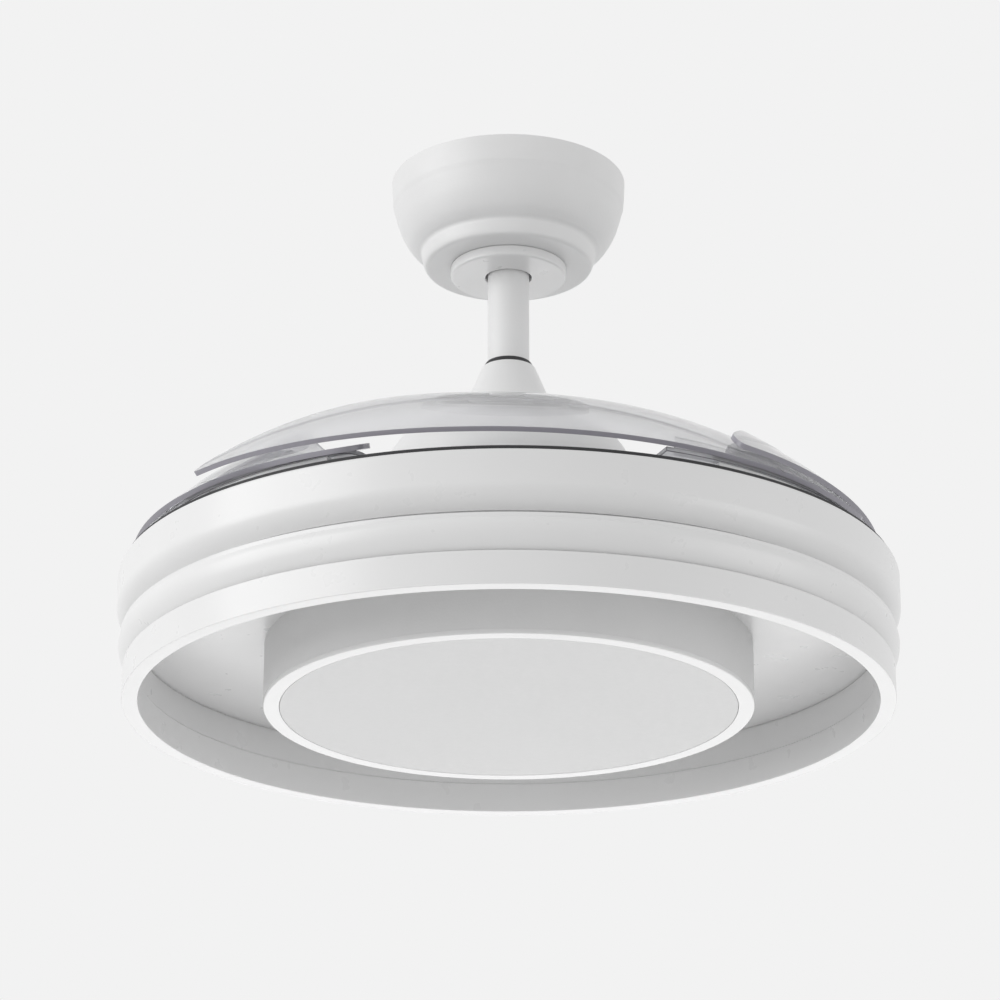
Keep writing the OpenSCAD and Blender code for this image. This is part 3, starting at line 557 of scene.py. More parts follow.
def circuit_board(name, colour):
    """White solder resist over faint ring-shaped copper tracks."""
    finish, tree, shader = new_finish(name)
    place = placed(tree)
    tracks = waves(tree, place, 22, rings=True)
    track = shade(colour, 0.9)
    tree.links.new(
        ramp(tree, tracks, [(0.0, track), (0.46, track), (0.54, colour), (1.0, colour)]),
        shader.inputs["Base Color"],
    )
    tree.links.new(between(tree, noise(tree, place, 150, 2), 0.25, 0.35), shader.inputs["Roughness"])
    raise_surface(tree, shader, [(tracks, 0.3, 0.00005)])
    return finish


FINISHES = {}


def make_finishes():
    """A node material for each material slot of the record, for the rim's painted light and for the painted
    shade of the blades' edges.
    """
    tones = bpy.context.scene.fan_finishes
    paint, shell = tuple(tones.paint), tuple(tones.shell)
    FINISHES.update(
        white_metal=powder_coat("white_powder_coat", paint),
        white_plastic=moulded_plastic("white_moulded_plastic", shell, 0.27, 0.31),
        polished_rim=moulded_plastic("polished_rim", tuple(tones.rim), 0.22, 0.27),
        black_rubber=rubber("black_seal", (0.022, 0.022, 0.024)),
        lens=opal_diffuser("opal_diffuser", tuple(tones.diffuser)),
        clear_plastic=clear_plastic("clear_blade", tuple(tones.clear)),
        clear_edge=moulded_plastic("blade_edge", tuple(tones.clear_edge), 0.12, 0.2, 600),
        clear_line=moulded_plastic("blade_edge_line", tuple(tones.clear_line), 0.12, 0.2, 600),
        zinc_steel=metal("zinc_plated_steel", (0.62, 0.63, 0.65), 0.24, 0.42, 260),
        aluminium=metal("sheet_aluminium", (0.72, 0.73, 0.75), 0.3, 0.45, 40, 0.05, (1, 14, 1)),
        cast_metal=metal("die_cast_shell", (0.5, 0.51, 0.53), 0.45, 0.65, 420, 0.12, depth=0.0002),
        lamination=stacked_sheets("steel_laminations", (0.34, 0.35, 0.37)),
        copper=wound_wire("copper_windings", (0.72, 0.35, 0.16)),
        magnet=rubber("ferrite_magnet", (0.05, 0.05, 0.055)),
        dark_plastic=moulded_plastic("dark_nylon", (0.05, 0.05, 0.055), 0.4, 0.55, 900, 0.00006),
        wire=three_leads("lead_insulation"),
        gear_plastic=moulded_plastic("natural_acetal", (0.72, 0.73, 0.68), 0.3, 0.42, 700),
        board=circuit_board("white_circuit_board", (0.84, 0.85, 0.84)),
        chip=moulded_plastic("phosphor_chip", (0.85, 0.72, 0.25), 0.25, 0.4, 2500),
    )


# ---- meshes ----


def rounded(outline):
    """A bmesh whose loose edges follow outline, a closed run of (radius, height, rounding) in metres."""
    bm = bmesh.new()
    corners = [bm.verts.new((r, 0, h)) for r, h, _ in outline]
    bm.faces.new(corners)
    for size in sorted({c for _, _, c in outline if c}):
        sized = [v for v, (_, _, c) in zip(corners, outline) if c == size]
        bmesh.ops.bevel(
            bm, geom=sized, offset=size, offset_type="OFFSET", segments=3, profile=0.5,
            affect="VERTICES", material=-1,
        )
    bmesh.ops.delete(bm, geom=bm.faces[:], context="FACES_ONLY")
    return bm


def spun(bm, steps):
    """Spins bm's loose edges a full turn round the fan's axis and closes the seam and the poles."""
    on_axis = [e for e in bm.edges if all(abs(v.co.x) < 1e-7 for v in e.verts)]
    bmesh.ops.delete(bm, geom=on_axis, context="EDGES")
    bmesh.ops.spin(
        bm, geom=bm.verts[:] + bm.edges[:], cent=(0, 0, 0), axis=(0, 0, 1), dvec=(0, 0, 0),
        angle=math.tau, steps=steps, use_merge=True,
    )
    bmesh.ops.remove_doubles(bm, verts=bm.verts[:], dist=1e-7)
    bmesh.ops.recalc_face_normals(bm, faces=bm.faces[:])
    return bm


def lathe(outline, base_z=0.0):
    """A closed ring or disc from an outline of (radius, height) or (radius, height, rounding) in mm."""
    sizes = bpy.context.scene.fan_sizes
    run = [(p[0] * MM, base_z + p[1] * MM, p[2] * MM if len(p) > 2 else 0) for p in outline]
    return spun(rounded(run), sizes.turn_steps)


def spun_shell(curve, wall, base_z=0.0):
    """A spun sheet that follows curve, a run of (radius, height) in mm, wall mm thick inwards."""
    bm = bmesh.new()
    points = [bm.verts.new((r * MM, 0, base_z + h * MM)) for r, h in curve]
    for a, b in zip(points, points[1:]):
        bm.edges.new((a, b))
    spun(bm, bpy.context.scene.fan_sizes.turn_steps)
    if sum(f.normal.x * f.calc_center_median().x for f in bm.faces) < 0:
        bmesh.ops.reverse_faces(bm, faces=bm.faces[:])
    thicken(bm, wall * MM)
    return bm


def thicken(bm, wall):
    """Gives the open sheet bm its wall, behind the faces."""
    bm.normal_update()
    bmesh.ops.solidify(bm, geom=bm.faces[:], thickness=wall)
    bmesh.ops.recalc_face_normals(bm, faces=bm.faces[:])


def sharp_edges(bm, least):
    """The edges of bm that turn by more than least radians."""
    bm.normal_update()
    return [e for e in bm.edges if e.is_manifold and e.calc_face_angle(0) > least]


def bevelled(bm, edges, size, segments, material):
    """Rounds edges, and gives the new faces a material index, or their neighbours' where it is -1."""
    bmesh.ops.bevel(
        bm, geom=edges, offset=size, offset_type="OFFSET", segments=segments, profile=0.5,
        affect="EDGES", clamp_overlap=True, material=material,
    )


def smooth_run(points, parts=6):
    """A smooth curve through points, each a (radius, height), with parts steps between two of them."""
    flat = [Vector((x, y, 0)) for x, y in points]
    run = []
    for k in range(len(flat) - 1):
        before, a, b, after = flat[max(0, k - 1)], flat[k], flat[k + 1], flat[min(len(flat) - 1, k + 2)]
        stretch = interpolate_bezier(a, a + (b - before) / 6, b - (after - a) / 6, b, parts + 1)
        run += [(p.x, p.y) for p in stretch[:-1]]
    return run + [points[-1]]


SHARP_TURN = math.radians(38)


def piece(bm, name, body, slot, replaced, extra=()):
    """Turns bm into a named object with its finish, on its body, in place of a CAD node."""
    for face in bm.faces:
        face.smooth = True
    for edge in bm.edges:
        edge.smooth = not (edge.is_manifold and edge.calc_face_angle(0) > SHARP_TURN)
    mesh = bpy.data.meshes.new(name)
    bm.to_mesh(mesh)
    bm.free()
    thing = bpy.data.objects.new(name, mesh)
    bpy.context.scene.collection.objects.link(thing)
    for key in (slot, *extra):
        mesh.materials.append(FINISHES[key])
    weighted = thing.modifiers.new("Weighted normals", "WEIGHTED_NORMAL")
    weighted.keep_sharp = True
    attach(thing, body)
    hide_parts(replaced)


# ---- hanger ----


class FAN_OT_make_canopy(bpy.types.Operator):
    """Makes the spun canopy and the cover disc under it"""

    bl_idname = "fan.make_canopy"
    bl_label = "Make canopy"

    def execute(self, context):
        wall = smooth_run([
            (79.5, 0), (79.3, -6), (78.9, -12), (78.5, -16.5), (78.1, -18.2), (77.4, -20.5), (76.2, -25),
            (73.6, -33), (70.4, -39.5), (66.6, -45), (62.6, -48.6), (60.0, -50.2), (58.9, -51.6),
            (58.7, -53.4), (58.2, -56), (57.4, -59), (56.3, -61), (54.6, -61.9), (52.5, -62),
        ])
        bm = spun_shell(wall + [(40, -62), (22, -62)], 1.5)
        piece(bm, "canopy_shell", "static", "white_metal", "canopy")
        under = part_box("canopy_disc")[1].z - 4 * MM
        disc = lathe([
            (15.6, 4), (15.6, -7, 0.7), (38.2, -7, 0.9), (39.2, -5.8, 0.6), (39.2, 0, 0.5), (37.2, 0),
            (37.2, -5), (21.95, -5), (21.95, 4),
        ], under)
        piece(disc, "canopy_cover_disc", "static", "white_plastic", "canopy_disc")
        return {"FINISHED"}


class FAN_OT_make_motor_cover(bpy.types.Operator):
    """Makes the domed motor cover, the cone round the rod's foot and the black ring on it"""

    bl_idname = "fan.make_motor_cover"
    bl_label = "Make motor cover"

    def execute(self, context):
        dome = [(85, 94), (85, 130)] + [
            (85 * math.cos(math.radians(a)), 154 + 57 * math.sin(math.radians(a))) for a in range(0, 76, 3)
        ] + [(18, 209.7)]
        piece(spun_shell(dome, 2, RIM_Z), "motor_dome", "static", "white_metal", "motor_cover")
        cone = lathe([
            (18, 240, 0.8), (31, 207.9, 0.5), (29, 207.9), (16, 238), (14.3, 238), (14.3, 240, 0.3),
        ], RIM_Z)
        piece(cone, "rod_cone", "static", "white_plastic", "cone_cover")
        ring = lathe([(14.05, 240), (17.5, 240, 0.3), (15, 243.8, 0.5), (14.05, 243.8)], RIM_Z)
        piece(ring, "cone_ring", "static", "black_rubber", "cone_seal")
        return {"FINISHED"}


# ---- drum ----

# Height up to which the drum's rim is polished and drawn lighter as painted light on its downward face, in
# millimetres
POLISH_AND_PAINTED_LIGHT_B = 0.8


class FAN_OT_make_drum(bpy.types.Operator):
    """Makes the three moulded bands of the drum and the black seal on its top edge"""

    bl_idname = "fan.make_drum"
    bl_label = "Make drum"

    def execute(self, context):
        corner = context.scene.fan_sizes.corner_round / MM
        swell = [(246 + 9 * math.sin(math.pi / 2 * i / 16), 47.8 + 14 * i / 16) for i in range(17)]
        upper = [(237, 45), (241, 45), (241, 47.2), (245.6, 47.2)] + swell + [
            (255, 74), (255, 83, 1.6), (244, 83, corner), (244, 80.5), (252.5, 80.5), (252.5, 64),
            (247, 64), (247, 61.9), (252.3, 61.9),
        ] + [(r - 2.5, h + 0.9) for r, h in reversed(swell) if 49.8 < h < 60] + [(243.8, 49.7), (237, 49.7)]
        piece(lathe(upper, RIM_Z), "drum_upper_band", "static", "white_plastic", "upper_band")

        bulge = [
            (245.8 + 7.6 * math.sin(math.pi / 2 * min(1, i / 24)) ** 0.9 - 0.35 * max(0, (i - 24) / 3) ** 1.5,
             21 + 20 * i / 30)
            for i in range(31)
        ]
        middle = [(243, 21)] + bulge + [
            (252, 41.3), (252, 44.0, 0.5), (249.3, 44.2), (249.3, 40),
        ] + [(r - 2.5, h + 1) for r, h in reversed(bulge[2:25:2])] + [(243, 23.5)]
        piece(lathe(middle, RIM_Z), "drum_middle_band", "static", "white_plastic", "middle_band")

        lower = [
            (239.5, 0, corner), (250, 0, corner), (250, 21, corner), (247.5, 21), (247.5, 2.5),
            (241.95, 2.5), (241.95, 42), (241.55, 42), (241.55, 40.8), (240.7, 40.8), (240.7, 21, 0.4),
            (239.5, 20, 0.4),
        ]
        wall = lathe(lower, RIM_Z)
        for face in wall.faces:
            # the rim's bottom face takes the polished finish, lighter than the shell as painted light
            face.material_index = int(face.calc_center_median().z < RIM_Z + POLISH_AND_PAINTED_LIGHT_B * MM)
        piece(wall, "drum_lower_band", "static", "white_plastic", "lower_band", ["polished_rim"])
        seal = lathe([(249, 83), (253, 83), (253, 85.6, 0.8), (249, 85.6, 0.8)], RIM_Z)
        piece(seal, "drum_top_seal", "static", "black_rubber", "top_seal")
        return {"FINISHED"}


class FAN_OT_make_lamp(bpy.types.Operator):
    """Makes the lamp's bezel and its opal diffuser"""

    bl_idname = "fan.make_lamp"
    bl_label = "Make lamp"

    def execute(self, context):
        bezel = lathe([
            (148.6, 0, 0.5), (159, 0, 0.9), (159, 3, 0.2), (156.45, 3), (156.45, 9), (152.1, 9), (152.1, 4.8),
            (144.1, 4.8), (144.1, 2.8), (148.6, 2.8),
        ], RIM_Z)
        # the whole bezel takes the polished finish, lighter than the shell as painted light
        for face in bezel.faces:
            face.material_index = 1
        piece(bezel, "lamp_ring_bezel", "static", "white_plastic", "lamp_bezel", ["polished_rim"])
        sheet = lathe([(0, 0.2), (148.4, 0.2, 0.4), (148.4, 2.8), (0, 2.8)], RIM_Z)
        piece(sheet, "lamp_diffuser", "static", "lens", "lamp_lens")
        return {"FINISHED"}


# ---- blades ----

# Lengths are in millimetres. A step is one degree round the fan, counted from a blade's root end.
# Outline: shares of the span over which the root grows and the tip tapers, the steps that the tip
# stays short of a point, the power of its outline, and the softness of the change between the two
ROOT_SHARE = 0.57
TIP_SHARE = 0.5
TIP_KEEP = 2.0
TIP_FULLNESS = 0.76
WIDTH_BLEND = 8
ROOT_ROUND = 16.0
TIP_ROUND = 4.0
# Outer edge: its height at the root end, its climb in a step, and the tip's extra climb after a share
EDGE_B = 95.0
EDGE_CLIMB = 0.075
TIP_CLIMB = 4.5
CLIMB_SHARE = 0.6
CLIMB_POWER = 1.3
# Rise: the power of the curve across, and the root end's share of it, with the steps where it grows
DOME_POWER = 1.5
ROOT_LOW = 0.5
ROOT_STEP = (10.0, 19.0)
# Crease: its share of the width, the step where it begins and the steps in which it grows. Then the
# depth of its dip, the dip's reach on the inner and the outer side, and where it has its full depth
CREASE_SHARE = 0.53
CREASE_FROM = 29
CREASE_GROWTH = 12
DIP = 0.7
DIP_INNER = 3
DIP_OUTER = 11
DIP_FULL = 12
# Root plate: its underside, its thickness, its insets from the blade's edge and its first and last step
PAD_B = 93.5
PAD_T = 3.0
PAD_INSETS = (4, 34)
PAD_STEPS = (4, 45)
# Ribs, screws and the two long ribs, each as its inset, its first and last step and its inward lean
RIB_STEPS = (15, 19.5, 24, 28.5)
RIB_INSETS = (5, 30)
RIB_WALL = 1.6
RIB_TOP_DEPTH = 3.0
BOSS_STEPS = (10, 20, 30)
BOSS_INSET = 20
BOSS_H = 4.0
LONG_RIBS = ((8, 7, 43, 3), (26, 9, 33, -12))
LONG_RIB_WALL = 1.4
# Bevels in metres, and the turn in radians past which an edge gets one
EDGE_BEVEL = 0.0008
INNER_BEVEL = 0.0006
PLATE_BEVEL = 0.0004
BEVEL_TURN = 0.9
# Pivot of blade 1 as its radius and its angle round from the front, and how far each blade turns in
PIVOT = (185.0, 57.0)
TUCK = (0.0, 1.0, 0.0, 0.0)


class BladeForm:
    """The form of a folded blade, in millimetres and degrees from its root end."""

    def __init__(self, sizes):
        self.radius = sizes.blade_radius / MM
        self.span = math.degrees(sizes.blade_span)
        self.root = math.degrees(sizes.blade_root)
        self.full = sizes.blade_width / MM
        self.root_width = sizes.blade_root_width / MM
        self.dome = sizes.blade_rise / MM

    def edge(self, u):
        """Height of the outer edge at step u."""
        late = max(0.0, (u / self.span - CLIMB_SHARE) / (1 - CLIMB_SHARE))
        return EDGE_B + EDGE_CLIMB * u + TIP_CLIMB * late ** CLIMB_POWER

    def width(self, u):
        """The lesser of the growth from the root and the taper to the tip, with a soft change."""
        grown = self.root_width + (self.full - self.root_width) * u / (ROOT_SHARE * self.span)
        left = min(1.0, (self.span - u + TIP_KEEP) / (TIP_SHARE * self.span))
        tapered = self.full * math.sin(math.radians(90 * left)) ** TIP_FULLNESS
        return (grown ** -WIDTH_BLEND + tapered ** -WIDTH_BLEND) ** (-1 / WIDTH_BLEND)

    def drawn_in(self, u):
        """How far both edges have come in, where an end is rounded."""
        total = 0.0
        for away, size in ((u, ROOT_ROUND), (self.span - u, TIP_ROUND)):
            s = math.radians(max(0.0, away)) * self.radius
            if s < size:
                total += size - math.sqrt(size * size - (size - s) ** 2)
        return total

    def rise(self, u, r):
        """Height above the outer edge. The root's end lies lower, and steps up to the full rise."""
        step = min(1.0, max(0.0, (u - ROOT_STEP[0]) / (ROOT_STEP[1] - ROOT_STEP[0])))
        share = ROOT_LOW + (1 - ROOT_LOW) * step * step * (3 - 2 * step)
        return share * self.dome * (1 - (1 - min(1.0, max(0.0, self.radius - r) / self.full)) ** DOME_POWER)

    def crease(self, u):
        """How far the crease in the sheet lies from the outer edge; below 0 where there is none."""
        return CREASE_SHARE * self.width(u) * (1 - math.exp((CREASE_FROM - u) / CREASE_GROWTH))

    def dip(self, past):
        """How far the sheet sinks towards the crease, past millimetres beyond it."""
        return DIP * (max(0.0, 1 - past / DIP_INNER) if past > 0 else math.exp(-((past / DIP_OUTER) ** 2)))

    def at(self, u, r, b):
        """The place at step u, radius r and height b."""
        a = math.radians(self.root - u - 90)
        return Vector((r * math.cos(a) * MM, r * math.sin(a) * MM, RIM_Z + b * MM))

    def place(self, co):
        """The step, kept within the span, and the distance from the outer edge of a point."""
        u = (self.root - 90 - math.degrees(math.atan2(co.y, co.x)) + 180) % 360 - 180
        return min(self.span, max(0.0, u)), self.radius - math.hypot(co.x, co.y) / MM

    def point(self, u, v):
        """A point of the upper surface at step u and share v from the outer to the inner edge."""
        inset = self.drawn_in(u)
        outer, inner = self.radius - inset, self.radius - self.width(u) + inset
        r = outer + (inner - outer) * v
        crease = max(0.0, self.crease(u))
        sunk = self.dip(self.radius - r - crease) * min(1.0, crease / DIP_FULL)
        return self.at(u, r, self.edge(u) + self.rise(u, r) - sunk)


def mark_fold(bm, past):
    """Writes past(co), the distance beyond the crease in millimetres, to each point of bm."""
    layer = bm.verts.layers.float.new("fold")
    for v in bm.verts:
        v[layer] = past(v.co)


def blade_sheet(form, thickness):
    """The crescent-shaped sheet, with painted shade on its clear outer edge: a grey edge between two darker
    lines.
    """
    along, across = 120, 54
    bm = bmesh.new()
    bmesh.ops.create_grid(bm, x_segments=along, y_segments=across, size=0.5)
    for v in bm.verts:
        u = form.span * (1 - math.cos(math.pi * (v.co.x + 0.5))) / 2
        v.co = form.point(u, v.co.y + 0.5)
    bmesh.ops.recalc_face_normals(bm, faces=bm.faces[:])
    if sum(f.normal.z for f in bm.faces) < 0:
        bmesh.ops.reverse_faces(bm, faces=bm.faces[:])
    thicken(bm, thickness)
    # the outer edge's faces take the grey painted shade, and the bevels round it take the darker painted
    # lines
    outer = {e for e in sharp_edges(bm, BEVEL_TURN) if outside(form, (e.verts[0].co + e.verts[1].co) / 2)}
    for face in bm.faces:
        if sum(e in outer for e in face.edges) > 1:
            face.material_index = 1
    bevelled(bm, list(outer), EDGE_BEVEL, 2, 2)
    bevelled(bm, sharp_edges(bm, BEVEL_TURN), INNER_BEVEL, 2, -1)

    def past(co):
        u, w = form.place(co)
        return w - form.crease(u)

    mark_fold(bm, past)
    return bm


def outside(form, co):
    """Whether a point of the sheet's rim belongs to the outer edge, the root end or the tip."""
    u, w = form.place(co)
    return w < 0.5 * form.width(u) or u < 2.5 or form.span - u < 1.5


def edged(bm):
    """Finishes a plate or rib of the root: its edges rounded, in the dark painted shade of the edge lines."""
    bmesh.ops.recalc_face_normals(bm, faces=bm.faces[:])
    bevelled(bm, sharp_edges(bm, BEVEL_TURN), PLATE_BEVEL, 2, 2)
    mark_fold(bm, lambda co: FAR_FROM_CREASE)
    return bm


def plate(run, growth):
    """A plate whose outline is run, grown by the vector growth, with its edges rounded."""
    bm = bmesh.new()
    bm.faces.new([bm.verts.new(co) for co in run])
    grown = bmesh.ops.extrude_face_region(bm, geom=bm.faces[:])
    moved = [g for g in grown["geom"] if isinstance(g, bmesh.types.BMVert)]
    bmesh.ops.translate(bm, verts=moved, vec=growth)
    return edged(bm)


def blade_pad(form):
    """The flat plate at the root, through which the blade is screwed to its arm."""
    first, last = PAD_STEPS
    outer, inner = (form.radius - inset for inset in PAD_INSETS)
    middle, half = (outer + inner) / 2, (outer - inner) / 2
    turn = math.radians(form.root - first)
    run = [form.at(u, outer, PAD_B) for u in range(last, first, -2)]
    for k in range(13):
        swung = math.radians(15 * k)
        r, side = middle + half * math.cos(swung), half * math.sin(swung)
        run.append(Vector((
            (r * math.sin(turn) + side * math.cos(turn)) * MM,
            (-r * math.cos(turn) + side * math.sin(turn)) * MM, RIM_Z + PAD_B * MM,
        )))
    run += [form.at(u, inner, PAD_B) for u in range(first + 1, last + 1, 2)]
    return plate(run, (0, 0, PAD_T * MM))


def blade_rib(form, u):
    """One rib between the plate and the blade, in the plane of a radius."""
    outer, inner = (form.radius - inset for inset in RIB_INSETS)
    floor = PAD_B + PAD_T
    top = [
        (r, form.edge(u) + form.rise(u, r) - RIB_TOP_DEPTH)
        for r in range(int(outer), int(inner) + 2, -3)
    ]
    run = [(inner, floor), (outer, floor)] + [p for p in top if p[1] > floor + 0.5] + [(inner, floor + 8)]
    onward = form.at(u + 1, 100, 0) - form.at(u, 100, 0)
    return plate([form.at(u, r, b) for r, b in run], onward.normalized() * RIB_WALL * MM)


def long_rib(form, inset, first, last, lean):
    """A rib that follows the outer edge from step first to step last, leaning inwards on its way."""
    bm = bmesh.new()
    low, high = [], []
    for u in range(first, last + 1, 2):
        r = form.radius - inset - lean * (u - first) / (last - first)
        low.append(bm.verts.new(form.at(u, r, PAD_B + PAD_T)))
        high.append(bm.verts.new(form.at(u, r, form.edge(u) + form.rise(u, r) - RIB_TOP_DEPTH)))
    for k in range(len(low) - 1):
        bm.faces.new((low[k], low[k + 1], high[k + 1], high[k]))
    bmesh.ops.recalc_face_normals(bm, faces=bm.faces[:])
    thicken(bm, LONG_RIB_WALL * MM)
    return edged(bm)


def blade_boss(form, u):
    """The raised ring round one screw of the root plate, its top in the dark painted shade of the edge lines.
    """
    place = form.at(u, form.radius - BOSS_INSET, PAD_B + PAD_T)
    boss = lathe([(2.2, 0), (4.6, 0), (4.6, BOSS_H, 0.4), (2.2, BOSS_H, 0.4)])
    bmesh.ops.translate(boss, verts=boss.verts[:], vec=place)
    top_z = place.z + (BOSS_H - 1) * MM
    for face in boss.faces:
        # the boss's top faces take the dark painted shade of the edge lines
        on_top = abs(face.normal.z) > 0.3 and face.calc_center_median().z > top_z
        face.material_index = 2 if on_top else 0
    mark_fold(boss, lambda co: FAR_FROM_CREASE)
    return boss


def joined(parts):
    """One bmesh that holds all of parts."""
    whole = bmesh.new()
    for part in parts:
        mesh = bpy.data.meshes.new("part")
        part.to_mesh(mesh)
        part.free()
        whole.from_mesh(mesh)
        bpy.data.meshes.remove(mesh)
    return whole


class FAN_OT_make_blades(bpy.types.Operator):
    """Makes the four clear blades, with their root plates and ribs"""

    bl_idname = "fan.make_blades"
    bl_label = "Make blades"

    def execute(self, context):
        sizes = context.scene.fan_sizes
        form = BladeForm(sizes)
        pivot_r, pivot_az = PIVOT
        turn = math.radians(pivot_az)
        pivot = Vector((pivot_r * math.sin(turn) * MM, -pivot_r * math.cos(turn) * MM, 0))
        for i in range(BLADE_COUNT):
            parts = [blade_sheet(form, sizes.blade_thickness), blade_pad(form)]
            parts += [blade_rib(form, u) for u in RIB_STEPS]
            parts += [blade_boss(form, u) for u in BOSS_STEPS]
            parts += [long_rib(form, *rib) for rib in LONG_RIBS]
            bm = joined(parts)
            tuck = Matrix.Rotation(-math.radians(TUCK[i]), 3, "Z")
            bmesh.ops.rotate(bm, verts=bm.verts[:], cent=pivot, matrix=tuck)
            bmesh.ops.rotate(
                bm, verts=bm.verts[:], cent=(0, 0, 0),
                matrix=Matrix.Rotation(i * math.tau / BLADE_COUNT, 3, "Z"),
            )
            piece(
                bm, f"clear_blade_{i + 1}", f"blade_{i + 1}_unit", "clear_plastic", f"blade_{i + 1}",
                ["clear_edge", "clear_line"],
            )
        return {"FINISHED"}


# ---- carried-over parts ----


class FAN_OT_dress_parts(bpy.types.Operator):
    """Gives each part that is carried over from the frame its finish"""

    bl_idname = "fan.dress_parts"
    bl_label = "Dress carried-over parts"

    def execute(self, context):
        for row in frame["record"]["subparts"]:
            materials = frame["nodes"][row["node"]].data.materials
            materials.clear()
            materials.append(FINISHES[row["material_slot"]])
        return {"FINISHED"}


class FAN_OT_make_finishes(bpy.types.Operator):
    """Makes the node materials"""

    bl_idname = "fan.make_finishes"
    bl_label = "Make finishes"

    def execute(self, context):
        make_finishes()
        return {"FINISHED"}


# ---- stage ----

# Point that the lights face, and each light's setting, size and place, in metres
LIT_POINT = (0, 0, -0.3)
LIGHTS = {
    "key": (2.4, (-2.5, -1.2, 0.2)),
    "fill": (2.0, (2.5, -1.0, -0.6)),
    "under": (2.6, (0, 2.2, -1.9)),
}
# Floor: half its side in metres, its grey, and how strongly it glows where it is seen directly
FLOOR_REACH = 40
FLOOR_GREY = 0.86
FLOOR_GLOW = 0.26
# Camera: its place in metres, its upward tilt and roll in radians, its sensor and lens in millimetres
CAMERA_PLACE = (0, -2.2, -1.0604)
CAMERA_TILT = 0.361
CAMERA_ROLL = 0.0026
SENSOR = 36
LENS = 127.86


def soft_light(name, power, size, place, target):
    """A square area light at place that faces target."""
    data = bpy.data.lights.new(name, "AREA")
    data.energy = power
    data.size = size
    lamp = bpy.data.objects.new(name, data)
    bpy.context.scene.collection.objects.link(lamp)
    lamp.location = place
    lamp.rotation_euler = (Vector(target) - Vector(place)).to_track_quat("-Z", "Y").to_euler()
    lamp.visible_camera = False


def seen_directly(tree):
    """1 for rays from the camera and for those by gloss or through clear plastic, 0 for the rest."""
    path = tree.nodes.new("ShaderNodeLightPath")
    last = path.outputs["Is Camera Ray"]
    for name in ("Is Glossy Ray", "Is Transmission Ray"):
        most = tree.nodes.new("ShaderNodeMath")
        most.operation = "MAXIMUM"
        tree.links.new(last, most.inputs[0])
        tree.links.new(path.outputs[name], most.inputs[1])
        last = most.outputs[0]
    return last


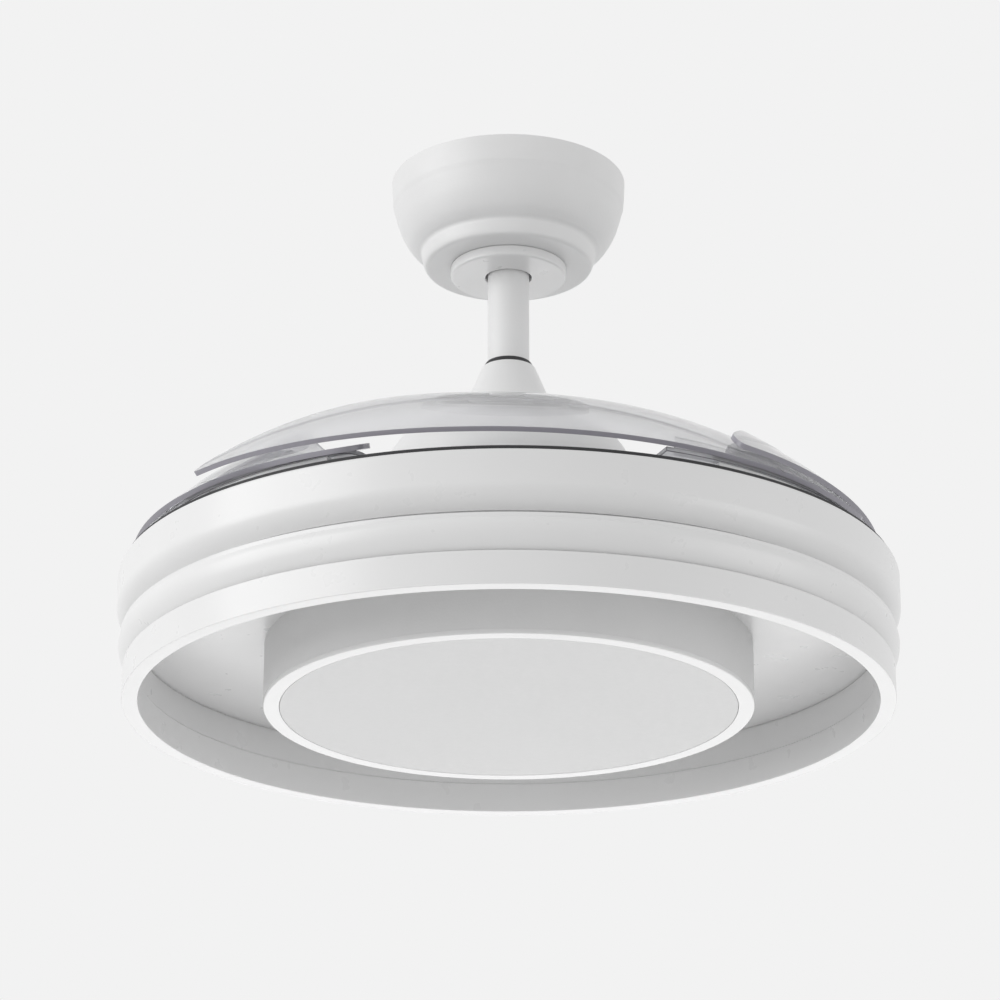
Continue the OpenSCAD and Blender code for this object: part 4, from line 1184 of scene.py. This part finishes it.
class FAN_OT_make_stage(bpy.types.Operator):
    """Makes the floor, the lights, the backdrop and the camera"""

    bl_idname = "fan.make_stage"
    bl_label = "Make stage"

    def execute(self, context):
        stage = context.scene.fan_stage
        self.floor(stage)
        self.backdrop(context, stage)
        for setting, (size, place) in LIGHTS.items():
            soft_light(f"{setting}_light", getattr(stage, setting), size, place, LIT_POINT)
        self.camera(context)
        context.scene.view_settings.view_transform = "Standard"
        return {"FINISHED"}

    def floor(self, stage):
        """The pale floor, which glows only for rays that see it directly."""
        bm = bmesh.new()
        bmesh.ops.create_grid(bm, x_segments=8, y_segments=8, size=FLOOR_REACH)
        bmesh.ops.translate(bm, verts=bm.verts[:], vec=(0, 0, stage.floor_z))
        mesh = bpy.data.meshes.new("floor")
        bm.to_mesh(mesh)
        bm.free()
        floor = bpy.data.objects.new("floor", mesh)
        bpy.context.scene.collection.objects.link(floor)
        finish = moulded_plastic("pale_floor", (FLOOR_GREY, FLOOR_GREY, FLOOR_GREY), 0.7, 0.85, 60)
        tree = finish.node_tree
        shader = tree.nodes["Principled BSDF"]
        glow = tree.nodes.new("ShaderNodeMath")
        glow.operation = "MULTIPLY"
        glow.inputs[1].default_value = FLOOR_GLOW
        tree.links.new(seen_directly(tree), glow.inputs[0])
        tree.links.new(glow.outputs[0], shader.inputs["Emission Strength"])
        shader.inputs["Emission Color"].default_value = (1, 1, 1, 1)
        mesh.materials.append(finish)

    def backdrop(self, context, stage):
        """The even room light, with the backdrop's own grey where it is seen directly."""
        world = bpy.data.worlds.new("studio")
        world.use_nodes = True
        tree = world.node_tree
        lit = tree.nodes["Background"]
        lit.inputs["Color"].default_value = (1, 1, 1, 1)
        lit.inputs["Strength"].default_value = stage.sky
        shown = tree.nodes.new("ShaderNodeBackground")
        shown.inputs["Color"].default_value = (stage.backdrop, stage.backdrop, stage.backdrop, 1)
        mix = tree.nodes.new("ShaderNodeMixShader")
        tree.links.new(seen_directly(tree), mix.inputs[0])
        tree.links.new(lit.outputs[0], mix.inputs[1])
        tree.links.new(shown.outputs[0], mix.inputs[2])
        tree.links.new(mix.outputs[0], tree.nodes["World Output"].inputs["Surface"])
        context.scene.world = world

    def camera(self, context):
        """The camera, in front of the fan and below it."""
        data = bpy.data.cameras.new("camera")
        data.sensor_width = SENSOR
        data.lens = LENS
        data.clip_start = 0.05
        camera = bpy.data.objects.new("camera", data)
        context.scene.collection.objects.link(camera)
        camera.location = CAMERA_PLACE
        camera.rotation_euler = (math.pi / 2 + CAMERA_TILT, 0, CAMERA_ROLL)
        context.scene.camera = camera


# ---- add-on ----

STEPS = (
    FAN_OT_make_finishes,
    FAN_OT_dress_parts,
    FAN_OT_make_canopy,
    FAN_OT_make_motor_cover,
    FAN_OT_make_drum,
    FAN_OT_make_lamp,
    FAN_OT_make_blades,
    FAN_OT_make_stage,
)


class FAN_PT_panel(bpy.types.Panel):
    """Lists the sizes, the finishes and the steps"""

    bl_idname = "FAN_PT_panel"
    bl_label = "Ceiling fan"
    bl_space_type = "VIEW_3D"
    bl_region_type = "UI"
    bl_category = "Ceiling fan"

    def draw(self, context):
        for group in (context.scene.fan_sizes, context.scene.fan_finishes, context.scene.fan_stage):
            box = self.layout.box()
            for name in group.__annotations__:
                box.prop(group, name)
        for step in STEPS:
            self.layout.operator(step.bl_idname)


GROUPS = {"fan_sizes": FanSizes, "fan_finishes": FanFinishes, "fan_stage": FanStage}


def register():
    for name, group in GROUPS.items():
        bpy.utils.register_class(group)
        setattr(bpy.types.Scene, name, PointerProperty(type=group))
    for cls in (*STEPS, FAN_PT_panel):
        bpy.utils.register_class(cls)


def unregister():
    for cls in (FAN_PT_panel, *reversed(STEPS)):
        bpy.utils.unregister_class(cls)
    for name, group in GROUPS.items():
        delattr(bpy.types.Scene, name)
        bpy.utils.unregister_class(group)


def main():
    register()
    for step in STEPS:
        group, name = step.bl_idname.split(".")
        getattr(getattr(bpy.ops, group), name)()


if __name__ == "__main__":
    main()
